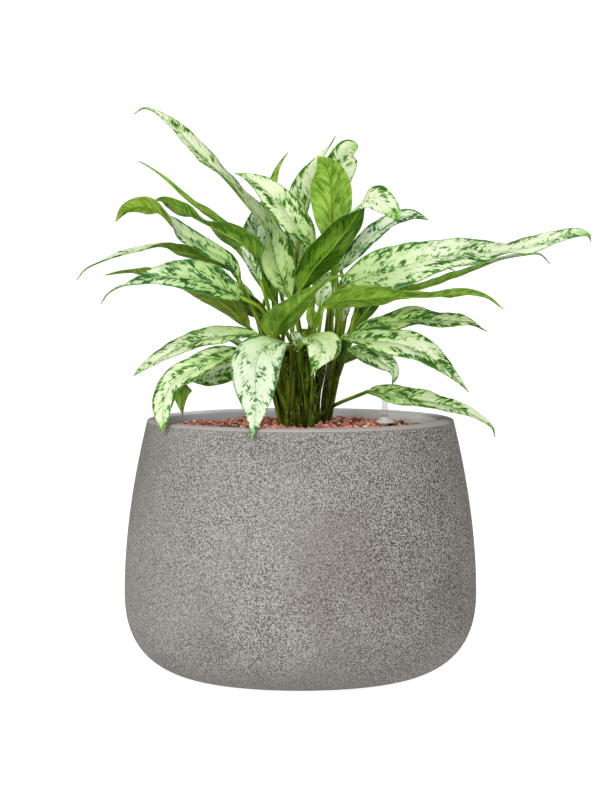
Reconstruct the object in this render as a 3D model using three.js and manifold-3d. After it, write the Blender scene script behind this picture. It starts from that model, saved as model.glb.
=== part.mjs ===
// Potted silver queen chinese evergreen in a round stone-look planter.
// Millimetres, +Z up. The origin is the centre of the planter's flat underside.
// The front of the plant looks along -Y, and +X is to its right.

import * as THREE from 'three';
import { mergeVertices } from 'three/addons/utils/BufferGeometryUtils.js';
import Module from 'manifold-3d';

const wasm = await Module();
wasm.setup();

// Planter
const FOOT_RADIUS = 96;
const BELLY_RADIUS = 201;
const BELLY_HEIGHT = 102;
const EDGE_RADIUS = 175;
const EDGE_HEIGHT = 298.5;
const LIP_RISE = 3;
const LIP_WIDTH = 18;
const FLOOR_THICKNESS = 16;
const PLANTER_SIDES = 40;
const LIP_STEPS = 4;
const LOWER_WALL_STEPS = 7;
const UPPER_WALL_STEPS = 5;

// Outer wall, as radius and height: the two pull points of each of its curves
const LOWER_WALL_PULLS = [[175, 7.5], [BELLY_RADIUS, 46]];
const UPPER_WALL_PULLS = [[BELLY_RADIUS, 190], [182, 267.5]];

// Inside of the planter from the lip down to the floor, as radius and height
const CAVITY_OUTLINE = [
  [EDGE_RADIUS - LIP_WIDTH, EDGE_HEIGHT],
  [159, 269],
  [165, 200],
  [171, 120],
  [155, 60],
  [115, 24],
  [85, FLOOR_THICKNESS],
];

// Clay granules
const BED_HEIGHT = 289;
const BED_RELIEF = 3.2;
const BED_RINGS = 13;
const BED_SIDES = 40;
const BED_WALL_CLEARANCE = 1.2;

// Clearance between pieces that touch
const GAP = 0.3;

// Water gauge, which stands in the granules behind the low right leaf
const GAUGE_X = 97;
const GAUGE_Y = 44;
const GAUGE_TOP = 328;
const GAUGE_TUBE_RADIUS = 4;
const GAUGE_TUBE_WALL = 0.8;
const GAUGE_DEPTH = 150;
const GAUGE_FLOOR = 2;
const GAUGE_CAP_RADIUS = 5.2;
const GAUGE_CAP_HEIGHT = 4;
const GAUGE_CAP_CHAMFER = 1;
const GAUGE_SIDES = 12;
const FLOAT_RADIUS = 2.4;
const FLOAT_TOP = 302.5;
const COLLAR_RADIUS = 11;
const COLLAR_TOP_RADIUS = 5.6;
const COLLAR_HEIGHT = 7.2;
const COLLAR_RIM_HEIGHT = 1.6;
const COLLAR_WAIST_RADIUS = 7.9;
const COLLAR_WAIST_HEIGHT = 3;
const COLLAR_NECK_HEIGHT = 5.4;

// Canes
const CANE_SIDES = 8;
const CANE_STEPS = 6;
const CANE_TAPER = 0.22;

// Leaves
const BLADE_THICKNESS = 0.9;
const RIB_THICKNESS = 1.5;
const STALK_RADIUS = 2.3;
const SHEATH_RADIUS = 4.2;
const TIP_HALF_WIDTH = 0.7;
const STALK_STEPS = 4;
const BLADE_STEP = 14;
const FEWEST_BLADE_STEPS = 6;
const TIP_CROWDING = 1.25;
const BASE_ROUNDNESS = 0.6;
const USUAL_TAPER = 1.5;
const SHEATH_SHARE = 0.55;
const MARGIN_PHASE = 1.2;
const STALK_ANGLES = [150, 90, 30, -30, -90, -150];

const COLOURS = {
  planter: 0x9c9894,
  granules: 0xb4664e,
  cane: 0x4a5f1e,
  silver: 0xb9cfa6,
  clear: 0xdfe3e6,
  float: 0xb5241c,
};

const solidFrom = (geometry) => {
  const bare = geometry.clone();
  bare.deleteAttribute('normal');
  bare.deleteAttribute('uv');
  const merged = mergeVertices(bare, 1e-4);
  const mesh = new wasm.Mesh({
    numProp: 3,
    vertProperties: new Float32Array(merged.attributes.position.array),
    triVerts: new Uint32Array(merged.index.array),
  });
  return new wasm.Manifold(mesh);
};

const geometryFrom = (solid) => {
  const mesh = solid.getMesh();
  const geometry = new THREE.BufferGeometry();
  geometry.setAttribute('position', new THREE.BufferAttribute(mesh.vertProperties, 3));
  geometry.setIndex(new THREE.BufferAttribute(mesh.triVerts, 1));
  geometry.computeVertexNormals();
  return geometry;
};

const largestBody = (solid) => {
  const bodies = solid.decompose();
  return bodies.reduce((best, body) => (body.volume() > best.volume() ? body : best));
};

const planeVectors = (points) => points.map(([x, y]) => new THREE.Vector2(x, y));

const vectors = (points) => points.map(([x, y, z]) => new THREE.Vector3(x, y, z));

const curveThrough = (points) => new THREE.CatmullRomCurve3(vectors(points));

// A closed skin over rings of equal length, with flat ends. The second half of each ring is split
// into triangles as the mirror of the first, so that both faces of a thin twisted blade run alike.
const loft = (rings) => {
  const size = rings[0].length;
  const positions = rings.flat().flatMap((p) => [p.x, p.y, p.z]);
  const faces = [];
  for (let ring = 0; ring < rings.length - 1; ring += 1) {
    for (let k = 0; k < size; k += 1) {
      const a = ring * size + k;
      const b = ring * size + (k + 1) % size;
      if (k < size / 2) faces.push(a, b, b + size, a, b + size, a + size);
      else faces.push(a, b, a + size, b, b + size, a + size);
    }
  }
  const last = (rings.length - 1) * size;
  for (let k = 1; k < size - 1; k += 1) {
    faces.push(0, k + 1, k);
    faces.push(last, last + k, last + k + 1);
  }
  const geometry = new THREE.BufferGeometry();
  geometry.setAttribute('position', new THREE.Float32BufferAttribute(positions, 3));
  geometry.setIndex(faces);
  return geometry;
};

const meshOf = (name, geometry, colour, roughness = 0.6) => {
  const material = new THREE.MeshStandardMaterial({ color: colour, roughness, metalness: 0 });
  const mesh = new THREE.Mesh(geometry, material);
  mesh.name = name;
  return mesh;
};

// Planter

const foot = [FOOT_RADIUS, 0];
const belly = [BELLY_RADIUS, BELLY_HEIGHT];
const edge = [EDGE_RADIUS, EDGE_HEIGHT];
const lowerWall = new THREE.CubicBezierCurve(...planeVectors([foot, ...LOWER_WALL_PULLS, belly]));
const upperWall = new THREE.CubicBezierCurve(...planeVectors([belly, ...UPPER_WALL_PULLS, edge]));
const cavityPoints = planeVectors(CAVITY_OUTLINE);

// Half an ellipse over the top of the wall, from the outside to the inside
const lipPoints = () => {
  const points = [];
  for (let k = 0; k <= LIP_STEPS; k += 1) {
    const angle = Math.PI * k / LIP_STEPS;
    const radius = EDGE_RADIUS - LIP_WIDTH / 2 + LIP_WIDTH / 2 * Math.cos(angle);
    points.push(new THREE.Vector2(radius, EDGE_HEIGHT + LIP_RISE * Math.sin(angle)));
  }
  return points;
};

const cavityRadiusAt = (height) => {
  const above = cavityPoints.findIndex((point) => point.y <= height);
  const low = cavityPoints[above];
  const high = cavityPoints[Math.max(above - 1, 0)];
  const share = (height - low.y) / (high.y - low.y || 1);
  return THREE.MathUtils.lerp(low.x, high.x, share);
};

const planterGeometry = () => {
  const profile = [
    new THREE.Vector2(0, 0),
    ...lowerWall.getPoints(LOWER_WALL_STEPS),
    ...upperWall.getPoints(UPPER_WALL_STEPS).slice(1, -1),
    ...lipPoints(),
    ...cavityPoints.slice(1),
    new THREE.Vector2(0, FLOOR_THICKNESS),
  ];
  return new THREE.LatheGeometry(profile, PLANTER_SIDES).rotateX(Math.PI / 2);
};

// Granules fill the planter. Their top is a pebbled relief.

const hash = (a, b) => {
  const value = Math.sin(a * 127.1 + b * 311.7) * 43758.5453;
  return value - Math.floor(value);
};

const granuleFill = () => {
  const wallInset = GAP / Math.cos(Math.PI / PLANTER_SIDES) + BED_WALL_CLEARANCE;
  const bedRadius = cavityRadiusAt(BED_HEIGHT) - wallInset;
  const profile = [new THREE.Vector2(0, FLOOR_THICKNESS + GAP)];
  for (const point of cavityPoints.slice(1).reverse()) {
    profile.push(new THREE.Vector2(point.x - wallInset, Math.max(point.y, FLOOR_THICKNESS + GAP)));
  }
  for (let ring = BED_RINGS; ring >= 0; ring -= 1) {
    profile.push(new THREE.Vector2(bedRadius * ring / BED_RINGS, BED_HEIGHT));
  }
  const lathe = new THREE.LatheGeometry(profile, BED_SIDES).rotateX(Math.PI / 2);
  lathe.deleteAttribute('normal');
  lathe.deleteAttribute('uv');
  const geometry = mergeVertices(lathe, 1e-3);
  const position = geometry.attributes.position;
  for (let k = 0; k < position.count; k += 1) {
    const radius = Math.hypot(position.getX(k), position.getY(k));
    const onTop = Math.abs(position.getZ(k) - BED_HEIGHT) < 1e-3;
    if (onTop && radius < bedRadius - 1) {
      const ring = Math.round(radius / bedRadius * BED_RINGS);
      const turn = Math.atan2(position.getY(k), position.getX(k)) / (2 * Math.PI);
      const spoke = Math.round(turn * BED_SIDES);
      const rise = (ring + spoke) % 2 === 0 ? 1 : -1;
      const share = 0.5 + 0.5 * hash(ring, spoke);
      position.setZ(k, BED_HEIGHT + rise * share * BED_RELIEF);
    }
  }
  return solidFrom(geometry);
};

// Canes are round stems that taper upwards.

const CANES = {
  cane_front_left: { radius: 10, points: [[-10, -20, 245], [-11, -22, 330], [-14, -26, 388]] },
  cane_front_middle: { radius: 7.5, points: [[10, -24, 245], [9, -27, 330], [7, -30, 394]] },
  cane_right: { radius: 7, points: [[29, 82, 245], [31, 52, 320], [45, 4, 394]] },
  cane_middle_right: { radius: 6, points: [[17, 70, 245], [18, 60, 320], [30, 28, 392]] },
  cane_left: { radius: 6, points: [[-14, 14, 245], [-21, 11, 320], [-34, 8, 388]] },
  cane_middle: { radius: 7.5, points: [[2, 20, 245], [4, 21, 330], [7, 22, 402]] },
  cane_back_left: { radius: 6.5, points: [[-11, 52, 245], [-17, 55, 320], [-34, 59, 392]] },
  cane_back_right: { radius: 6.5, points: [[30, 108, 245], [30, 94, 320], [44, 64, 388]] },
};

const caneSolid = ({ radius, points }, growth = 0) => {
  const centres = curveThrough(points).getSpacedPoints(CANE_STEPS);
  const rings = centres.map((centre, index) => {
    const wide = radius * (1 - CANE_TAPER * index / CANE_STEPS) + growth;
    const ring = [];
    for (let k = 0; k < CANE_SIDES; k += 1) {
      const angle = 2 * Math.PI * k / CANE_SIDES;
      ring.push(new THREE.Vector3(Math.cos(angle), Math.sin(angle), 0).multiplyScalar(wide).add(centre));
    }
    return ring;
  });
  rings[rings.length - 1].forEach((point) => { point.z += growth; });
  return solidFrom(loft(rings));
};

// Leaves: the stalk runs from its cane to the blade, the midrib from there to the tip.
// Each midrib point has a facing, the direction that the upper side looks in there.
// `half` is the widest half width and `belly` where it lies along the blade.

const LEAVES = {
  leaf_left_top: {
    stalk: [[6, 22, 374], [-4, 17, 408], [-12, 16, 437]],
    midrib: [[-12, 16, 437], [-26, 16, 475], [-36, 14, 512], [-64, 8, 549], [-84, 4, 573],
      [-114, 0, 602], [-144, -4, 635], [-177, -8, 655], [-189, -8, 648]],
    facing: [[0.2, -0.9, 0.1], [0.3, -0.9, 0.2], [0.72, -0.35, 0.5], [0.75, -0.17, 0.62],
      [0.7, -0.12, 0.7], [0.6, -0.55, 0.6], [0.45, -0.65, 0.55], [0, -0.3, 0.9], [-0.7, -0.3, 0.5]],
    half: 26, belly: 0.28, taper: 1.2, fold: 12,
  },
  leaf_left_thin: {
    stalk: [[-30, 58, 366], [-27, 50, 424], [-30, 43, 458]],
    midrib: [[-30, 43, 458], [-62, 40, 496], [-97, 36, 527], [-125, 32, 547], [-158, 26, 577],
      [-176, 22, 590], [-185, 20, 594]],
    facing: [[0.6, 0.34, 0.72], [0.6, 0.38, 0.7], [0.6, 0.38, 0.7], [0.6, 0.38, 0.7],
      [0.6, 0.38, 0.7], [0.4, 0.38, 0.85], [0.1, 0.35, 0.9]],
    half: 14, belly: 0.35, fold: 8,
  },
  leaf_left_curled: {
    stalk: [[-31, 9, 366], [-52, 12, 420], [-68, 8, 456]],
    midrib: [[-68, 8, 456], [-82, 4, 480], [-112, -4, 497], [-138, -10, 514], [-157, -14, 534],
      [-175, -16, 543], [-197, -14, 541], [-210, -12, 526]],
    facing: [[0.5, -0.8, 0.3], [0.3, -0.75, 0.6], [0.2, -0.65, 0.8], [0.5, -0.5, 0.7],
      [0.5, 0.2, 0.85], [0.1, 0.9, 0.55], [-0.2, 0.85, 0.5], [-0.6, 0.6, 0.5]],
    half: 16.5, belly: 0.52, taper: 0.75, fold: 12,
  },
  leaf_left_dark: {
    stalk: [[6, 24, 352], [-16, 26, 398], [-28, 28, 431]],
    midrib: [[-28, 28, 431], [-42, 26, 462], [-60, 22, 495], [-86, 16, 512], [-113, 12, 526],
      [-136, 8, 539], [-153, 4, 548], [-167, 20, 550]],
    facing: [[0.4, 0.85, 0.2], [0.5, 0.8, 0.3], [0.5, 0.7, 0.5], [0.4, 0.6, 0.7], [0.4, 0.05, 0.9],
      [0.3, 0.75, 0.6], [0.2, 0.8, 0.4], [-0.4, 0.4, 0.6]],
    half: 21, belly: 0.4, taper: 0.9, fold: 8,
  },
  leaf_left_small: {
    stalk: [[-31, 8, 378], [-35, 2, 420], [-44, 4, 456]],
    midrib: [[-44, 4, 456], [-54, 4, 475], [-64, 4, 491], [-73, 2, 503]],
    facing: [[0.6, -0.75, 0.3], [0.6, -0.75, 0.3], [0.6, -0.75, 0.3], [0.5, -0.7, 0.5]],
    half: 9.5, belly: 0.4, fold: 10,
  },
  leaf_left_long: {
    stalk: [[-22, 56, 342], [-46, 36, 408], [-76, 26, 468]],
    midrib: [[-76, 26, 468], [-105, 22, 484], [-132, 18, 490], [-160, 14, 498], [-184, 10, 493],
      [-205, 8, 488], [-228, 6, 480], [-246, 4, 471], [-255, 2, 459]],
    facing: [[0.3, 0.6, 0.7], [0.1, 0.6, 0.8], [0, 0.5, 0.85], [0, 0.15, 1], [0.05, -0.2, 0.95],
      [0.1, -0.25, 0.95], [0.1, -0.1, 1], [-0.4, 0.2, 0.9], [-0.9, 0.2, 0.3]],
    half: 15, belly: 0.3, fold: 8,
  },
  leaf_left_big: {
    stalk: [[-28, 10, 352], [-31, -7, 400], [-46, -14, 428], [-64, -16, 438]],
    midrib: [[-64, -16, 438], [-82, -20, 448], [-105, -26, 459], [-135, -32, 465], [-165, -36, 464],
      [-188, -38, 458], [-206, -40, 453], [-219, -41, 445], [-226, -41, 434]],
    facing: [[0.1, -0.75, 0.65], [0.1, -0.8, 0.6], [0, -0.8, 0.6], [0, -0.8, 0.6],
      [-0.1, -0.7, 0.7], [-0.1, -0.5, 0.85], [-0.3, -0.4, 0.85], [-0.7, -0.3, 0.6], [-1, -0.3, 0]],
    half: 22.5, belly: 0.3, taper: 2.2, fold: 10,
  },
  leaf_left_olive: {
    stalk: [[-24, 10, 334], [-39, 21, 380], [-58, 16, 403]],
    midrib: [[-58, 16, 403], [-80, 12, 426], [-112, 8, 447], [-150, 2, 463], [-180, -2, 468],
      [-203, -4, 468], [-223, -6, 465]],
    facing: [[0.3, 0.7, 0.6], [0.3, 0.7, 0.6], [0.2, 0.65, 0.7], [0, 0.5, 0.85], [0, 0.4, 0.9],
      [-0.1, 0.3, 0.95], [-0.1, 0.3, 0.95]],
    half: 20, belly: 0.35, taper: 0.9, fold: 8,
  },
  leaf_back_left_dark: {
    stalk: [[-17, 55, 322], [-22, 45, 382], [-36, 49, 412]],
    midrib: [[-36, 50, 412], [-58, 55, 425], [-85, 66, 439], [-110, 76, 446], [-130, 84, 447]],
    facing: [[0.1, 0.7, 0.7], [0, 0.7, 0.7], [0, 0.6, 0.8], [0, 0.5, 0.85], [-0.2, 0.4, 0.9]],
    half: 17, belly: 0.35, fold: 8,
  },
  leaf_middle_left: {
    stalk: [[7, 22, 380], [15, 6, 436], [15, 0, 495]],
    midrib: [[15, 0, 495], [-3, -4, 520], [-21, -6, 542], [-41, -8, 563], [-60, -10, 576],
      [-75, -12, 581]],
    facing: [[0.5, -0.75, 0.4], [0.4, -0.8, 0.45], [0.35, -0.85, 0.4], [0.3, -0.85, 0.45],
      [0.2, -0.8, 0.55], [0, -0.7, 0.7]],
    half: 20, belly: 0.42, taper: 1.1, fold: 10,
  },
  leaf_left_behind: {
    stalk: [[-27, 57, 362], [-46, 60, 402], [-36, 68, 449]],
    midrib: [[-36, 68, 449], [-44, 69, 479], [-50, 68, 507], [-48, 65, 533], [-42, 62, 553]],
    facing: [[0.2, -0.9, 0.2], [0.2, -0.9, 0.2], [0.2, -0.9, 0.2], [0.2, -0.9, 0.2],
      [0.2, -0.8, 0.4]],
    half: 20, belly: 0.5, fold: 10,
  },
  leaf_middle_dark: {
    stalk: [[-13, -26, 374], [-8, -24, 412], [-2, -24, 448]],
    midrib: [[-2, -24, 448], [13, -30, 472], [35, -36, 497], [55, -38, 523], [65, -47, 540],
      [72, -56, 550], [83, -63, 555], [92, -68, 551], [101, -71, 543], [111, -73, 531]],
    facing: [[-0.5, 0.8, 0.3], [-0.5, 0.8, 0.4], [-0.5, 0.75, 0.45], [-0.5, 0.6, 0.6],
      [-0.55, 0.1, 0.8], [-0.5, -0.3, 0.8], [-0.4, -0.64, 0.66], [-0.22, -0.84, 0.26],
      [-0.15, -0.95, 0.2], [0, -1, 0.1]],
    half: 25, belly: 0.28, taper: 0.5, fold: 6,
  },
  leaf_middle_bright: {
    stalk: [[44, 9, 384], [43, 10, 430], [38, 2, 496]],
    midrib: [[38, 2, 496], [36, -2, 527], [35, -8, 556], [31, -18, 584], [20, -28, 600]],
    facing: [[0, 0.95, 0.1], [0, 0.95, 0.1], [0, 0.95, 0.2], [-0.1, 0.9, 0.4], [-0.3, 0.8, 0.5]],
    half: 24, belly: 0.55, taper: 0.85, fold: 6,
  },
  leaf_middle_top: {
    stalk: [[29, 32, 382], [35, 34, 444], [39, 34, 504]],
    midrib: [[39, 34, 504], [38, 34, 545], [42, 32, 575], [49, 29, 595], [55, 24, 607],
      [66, 18, 611]],
    facing: [[-0.7, -0.6, 0.1], [-0.6, -0.7, 0.1], [-0.3, -0.9, 0.2], [0, -0.95, 0.2],
      [0.1, -0.95, 0.25], [0.2, -0.9, 0.4]],
    half: 19, belly: 0.65, taper: 0.55, fold: 8,
  },
  leaf_middle_folded: {
    stalk: [[7, 22, 388], [-7, 32, 440], [-2, 38, 505]],
    midrib: [[-2, 38, 505], [4, 40, 538], [13, 42, 568], [25, 42, 596], [40, 40, 622]],
    facing: [[-0.6, -0.75, 0.2], [-0.6, -0.75, 0.2], [-0.6, -0.75, 0.2], [-0.6, -0.75, 0.2],
      [-0.6, -0.75, 0.2]],
    half: 22.5, belly: 0.38, taper: 2, fold: 38,
  },
  leaf_spike: {
    stalk: [[-33, 60, 388], [-31, 84, 440], [-43, 86, 517]],
    midrib: [[-43, 84, 517], [-39, 86, 545], [-33.5, 86, 570], [-25.5, 86, 587], [-14, 86, 602]],
    facing: [[0.8, 0.5, -0.3], [0.8, 0.5, -0.3], [0.8, 0.5, -0.3], [0.8, 0.5, -0.3],
      [0.8, 0.5, -0.5]],
    half: 11, belly: 0.4, fold: 20,
  },
  leaf_right_thin: {
    stalk: [[26, 39, 368], [32, 42, 420], [38, 40, 464]],
    midrib: [[38, 40, 464], [62, 37, 487], [86, 31, 511], [108, 27, 526], [126, 22, 532],
      [146, 16, 527]],
    facing: [[-0.4, -0.6, 0.7], [-0.4, -0.6, 0.7], [-0.4, -0.6, 0.7], [-0.3, -0.6, 0.8],
      [0.1, -0.8, 0.6], [0.5, -0.65, 0.6]],
    half: 16, belly: 0.4, taper: 0.8, fold: 12,
  },
  leaf_right_largest: {
    stalk: [[41, 17, 370], [45, -8, 408], [44, -16, 449]],
    midrib: [[44, -16, 451], [85, -24, 467], [128, -30, 479], [165, -32, 488], [200, -32, 491],
      [232, -32, 494], [262, -32, 499], [292, -32, 509], [315, -34, 514], [326, -36, 511],
      [329, -36, 504]],
    facing: [[0, -0.9, 0.4], [0, -0.9, 0.4], [0, -0.8, 0.58], [-0.1, -0.62, 0.78],
      [-0.15, -0.6, 0.75], [-0.2, -0.3, 0.95], [-0.3, -0.6, 0.75], [-0.3, -0.65, 0.7],
      [-0.1, -0.85, 0.4], [0.4, -0.8, 0.3], [0.9, -0.3, -0.1]],
    half: 27.5, belly: 0.22, taper: 0.8, fold: 6,
  },
  leaf_right_under: {
    stalk: [[38, 27, 358], [58, 18, 404], [66, 8, 436]],
    midrib: [[66, 8, 436], [100, 4, 446], [135, 2, 450.5], [168, 0, 461], [198, -4, 472],
      [226, -8, 483], [252, -10, 488], [273, -10, 489], [284, -10, 478]],
    facing: [[-0.2, 0.7, 0.7], [-0.2, 0.5, 0.8], [-0.2, 0.42, 0.85], [-0.2, 0.4, 0.88],
      [-0.3, 0.3, 0.9], [-0.2, -0.3, 0.9], [-0.1, -0.35, 0.9], [0.2, -0.3, 0.9], [0.8, -0.2, 0.5]],
    half: 10.5, belly: 0.45, fold: 8,
  },
  leaf_right_green: {
    stalk: [[7, -30, 350], [19, -44, 394], [24, -42, 427]],
    midrib: [[24, -42, 429], [50, -47, 439], [85, -52, 442], [120, -56, 443], [155, -58, 444],
      [182, -58, 447], [209, -58, 443], [229, -58, 429]],
    facing: [[-0.2, 0.75, 0.6], [-0.1, 0.75, 0.65], [0, 0.6, 0.75], [0, 0.3, 0.95], [0, 0.3, 0.95],
      [0.1, 0.5, 0.85], [0.3, 0.4, 0.85], [0.5, 0.4, 0.75]],
    half: 19, belly: 0.25, taper: 0.9, fold: 8,
  },
  leaf_right_middle: {
    stalk: [[35, 40, 338], [54, 8, 378], [60, 2, 399]],
    midrib: [[60, 2, 400], [90, 0, 409], [125, -4, 414], [158, -6, 413], [188, -8, 412],
      [213, -10, 401]],
    facing: [[0, -0.5, 0.85], [0, -0.5, 0.85], [0, -0.5, 0.85], [0, -0.5, 0.85], [0.1, -0.5, 0.85],
      [0.3, -0.4, 0.85]],
    half: 20, belly: 0.4, taper: 1.1, fold: 8, wave: 3, waves: 2.5,
  },
  leaf_back_right_dark: {
    stalk: [[36, 81, 350], [49, 63, 384], [58, 58, 399]],
    midrib: [[58, 58, 399], [70, 62, 415], [85, 66, 432], [100, 70, 448], [112, 74, 458]],
    facing: [[-0.2, 0.8, 0.5], [-0.2, 0.8, 0.5], [-0.2, 0.8, 0.5], [-0.1, 0.7, 0.6], [0, 0.6, 0.8]],
    half: 12, belly: 0.4, fold: 8,
  },
  leaf_right_droop: {
    stalk: [[31, 52, 318], [36, 6, 360], [46, -26, 395]],
    midrib: [[46, -26, 396], [85, -34, 392], [122, -42, 386], [152, -48, 371], [174, -52, 353],
      [190, -54, 335]],
    facing: [[0.1, -0.7, 0.7], [0.1, -0.75, 0.65], [0.15, -0.8, 0.6], [0.3, -0.75, 0.55],
      [0.5, -0.65, 0.55], [0.6, -0.6, 0.5]],
    half: 19, belly: 0.45, taper: 1.1, fold: 8, wave: 2.5, waves: 2,
  },
  leaf_right_hook: {
    stalk: [[32, 60, 296], [44, 14, 350], [54, -25, 381]],
    midrib: [[53, -25, 382], [74, -29, 376], [94, -35, 367], [106, -39, 356], [104, -41, 341]],
    facing: [[0.2, -0.7, 0.7], [0.2, -0.8, 0.6], [0.4, -0.8, 0.5], [0.7, -0.7, 0.3],
      [0.8, -0.6, -0.1]],
    half: 14.5, belly: 0.45, taper: 1, fold: 8,
  },
  leaf_right_low: {
    stalk: [[15, 44, 258], [16, 42, 290], [32, 24, 310], [76, -20, 333]],
    midrib: [[76, -20, 333], [98, -24, 331], [125, -28, 326], [164, -32, 319], [200, -35, 306],
      [218, -36, 293], [221, -36, 282]],
    facing: [[0, -0.6, 0.8], [0, -0.6, 0.8], [0, -0.6, 0.8], [0.1, -0.6, 0.8], [0.3, -0.6, 0.7],
      [0.8, -0.5, 0.3], [0.9, -0.4, 0]],
    half: 16, belly: 0.2, taper: 1, fold: 8, wave: 1.5, waves: 3,
  },
  leaf_front_droop: {
    stalk: [[-13, -26, 352], [-10, -38, 379], [-10, -50, 387]],
    midrib: [[-10, -50, 388], [-34, -78, 391], [-48, -102, 375], [-50, -130, 348],
      [-50, -157, 319], [-54, -180, 290]],
    facing: [[0, -0.3, 0.95], [-0.1, -0.5, 0.85], [-0.1, -0.75, 0.65], [-0.1, -0.75, 0.65],
      [-0.1, -0.75, 0.65], [-0.1, -0.75, 0.6]],
    half: 29, belly: 0.4, taper: 1.2, fold: 6,
  },
  leaf_front_small: {
    stalk: [[9, -28, 326], [-2, -48, 372], [0, -55, 393]],
    midrib: [[1, -54, 394], [14, -68, 397], [25, -84, 389], [20, -100, 374], [12, -110, 357]],
    facing: [[0.1, -0.3, 0.95], [0.2, -0.5, 0.85], [0.2, -0.8, 0.5], [0, -0.85, 0.5],
      [-0.3, -0.9, 0.2]],
    half: 22, belly: 0.4, taper: 1.3, fold: 6,
  },
  leaf_front_tiny: {
    stalk: [[-13, -26, 374], [-5, -34, 382], [1, -39, 384]],
    midrib: [[1, -39, 384], [-4, -44, 394], [-12, -51, 405]],
    facing: [[0.2, -0.9, 0.35], [0.2, -0.9, 0.35], [0.2, -0.9, 0.35]],
    half: 8.5, belly: 0.4, fold: 15,
  },
  leaf_front_green: {
    stalk: [[-13, -26, 340], [-26, -34, 374], [-31, -38, 394]],
    midrib: [[-31, -38, 396], [-22, -54, 415], [-6, -74, 433], [16, -92, 453], [40, -106, 468],
      [63, -116, 471]],
    facing: [[-0.4, 0.75, 0.5], [-0.4, 0.75, 0.5], [-0.4, 0.6, 0.7], [-0.4, 0.3, 0.9],
      [-0.35, 0.25, 0.9], [-0.2, 0.2, 0.95]],
    half: 25, belly: 0.2, taper: 1.8, fold: 6,
  },
  leaf_left_low: {
    stalk: [[-23, 11, 322], [-39, -1, 364], [-47, -11, 397]],
    midrib: [[-47, -11, 398], [-72, -18, 398], [-98, -24, 395], [-128, -28, 387], [-156, -31, 374],
      [-176, -33, 362], [-189, -34, 352]],
    facing: [[-0.1, -0.5, 0.85], [-0.1, -0.5, 0.85], [-0.1, -0.5, 0.85], [-0.2, -0.5, 0.85],
      [-0.3, -0.5, 0.8], [-0.5, -0.5, 0.7], [-0.6, -0.5, 0.6]],
    half: 19, belly: 0.4, taper: 0.75, fold: 10,
  },
  leaf_left_front_droop: {
    stalk: [[-12, -25, 328], [-38, -40, 356], [-62, -48, 370], [-80, -54, 374]],
    midrib: [[-80, -54, 374], [-98, -62, 369.5], [-119, -70, 362], [-135, -77, 354.5],
      [-146, -84, 345], [-152, -92, 332], [-155, -98, 315], [-154, -103, 293]],
    facing: [[-0.2, -0.45, 0.85], [-0.2, -0.5, 0.85], [-0.3, -0.7, 0.65], [-0.4, -0.75, 0.5],
      [-0.6, -0.75, 0.35], [-0.5, -0.85, 0.1], [-0.4, -0.9, 0.1], [-0.4, -0.9, 0.1]],
    half: 18.5, belly: 0.5, taper: 0.8, fold: 6,
  },
  leaf_left_front_broad: {
    stalk: [[-19, 11, 300], [-42, -14, 354], [-56, -27, 376]],
    midrib: [[-56, -27, 374], [-84, -36, 366], [-108, -44, 359], [-124, -49, 352], [-134, -52, 338],
      [-135, -54, 324], [-133, -55, 308]],
    facing: [[0, -0.9, 0.4], [0, -0.95, 0.3], [-0.2, -0.95, 0.3], [-0.5, -0.8, 0.3],
      [-0.35, 0.9, 0.1], [-0.4, 0.9, 0], [-0.3, 0.9, 0]],
    half: 23, belly: 0.35, taper: 1.1, fold: 6,
  },
  leaf_front_upright: {
    stalk: [[7, -30, 382], [15, -24, 404], [22, -28, 427]],
    midrib: [[22, -28, 428], [25, -36, 444], [29, -43, 456], [31, -48, 465]],
    facing: [[0, -0.9, 0.1], [0, -0.9, -0.2], [0, -0.9, -0.3], [0, -0.9, -0.3]],
    half: 10, belly: 0.5, taper: 1, fold: 8,
  },
  leaf_front_narrow: {
    stalk: [[7, -30, 366], [15, -14, 388], [16, -12, 402]],
    midrib: [[16, -12, 402], [13, -12, 418], [8, -12, 436]],
    facing: [[-0.3, 0.85, 0.3], [-0.3, 0.85, 0.3], [-0.3, 0.85, 0.3]],
    half: 7, belly: 0.4, fold: 8,
  },
  leaf_right_behind: {
    stalk: [[42, 12, 380], [41, 20, 390], [45, 23, 408]],
    midrib: [[45, 23, 408], [47, 22, 425], [50, 22, 440], [56, 22, 455]],
    facing: [[0.1, -0.9, 0.2], [0.1, -0.9, 0.2], [0.1, -0.9, 0.2], [0.1, -0.9, 0.2]],
    half: 10, belly: 0.4, fold: 10,
  },
  leaf_back_up: {
    stalk: [[6, 22, 360], [12, 50, 430], [4, 66, 470]],
    midrib: [[4, 66, 470], [0, 84, 505], [-4, 102, 536], [-6, 118, 558]],
    facing: [[0, -0.7, 0.7], [0, -0.7, 0.7], [0, -0.7, 0.7], [0, -0.6, 0.8]],
    half: 18, belly: 0.4, fold: 10,
  },
  leaf_back_droop: {
    stalk: [[37, 77, 358], [36, 80, 406], [38, 86, 436]],
    midrib: [[38, 86, 436], [26, 112, 456], [10, 140, 458], [-4, 164, 440], [-12, 180, 414]],
    facing: [[0, -0.5, 0.85], [0, -0.3, 0.95], [0, 0.1, 1], [0, 0.6, 0.8], [0, 0.7, 0.7]],
    half: 18, belly: 0.45, fold: 8,
  },
  leaf_back_left_arch: {
    stalk: [[-20, 57, 326], [-44, 80, 388], [-54, 92, 429]],
    midrib: [[-54, 92, 430], [-74, 108, 448], [-98, 124, 456], [-122, 138, 454],
      [-140, 148, 444]],
    facing: [[0.2, -0.2, 0.95], [0.2, 0.1, 0.95], [0, 0.3, 0.95], [-0.2, 0.4, 0.9],
      [-0.5, 0.5, 0.7]],
    half: 18, belly: 0.4, fold: 8,
  },
  leaf_back_right_arch: {
    stalk: [[33, 88, 334], [58, 90, 390], [70, 88, 440]],
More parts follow.
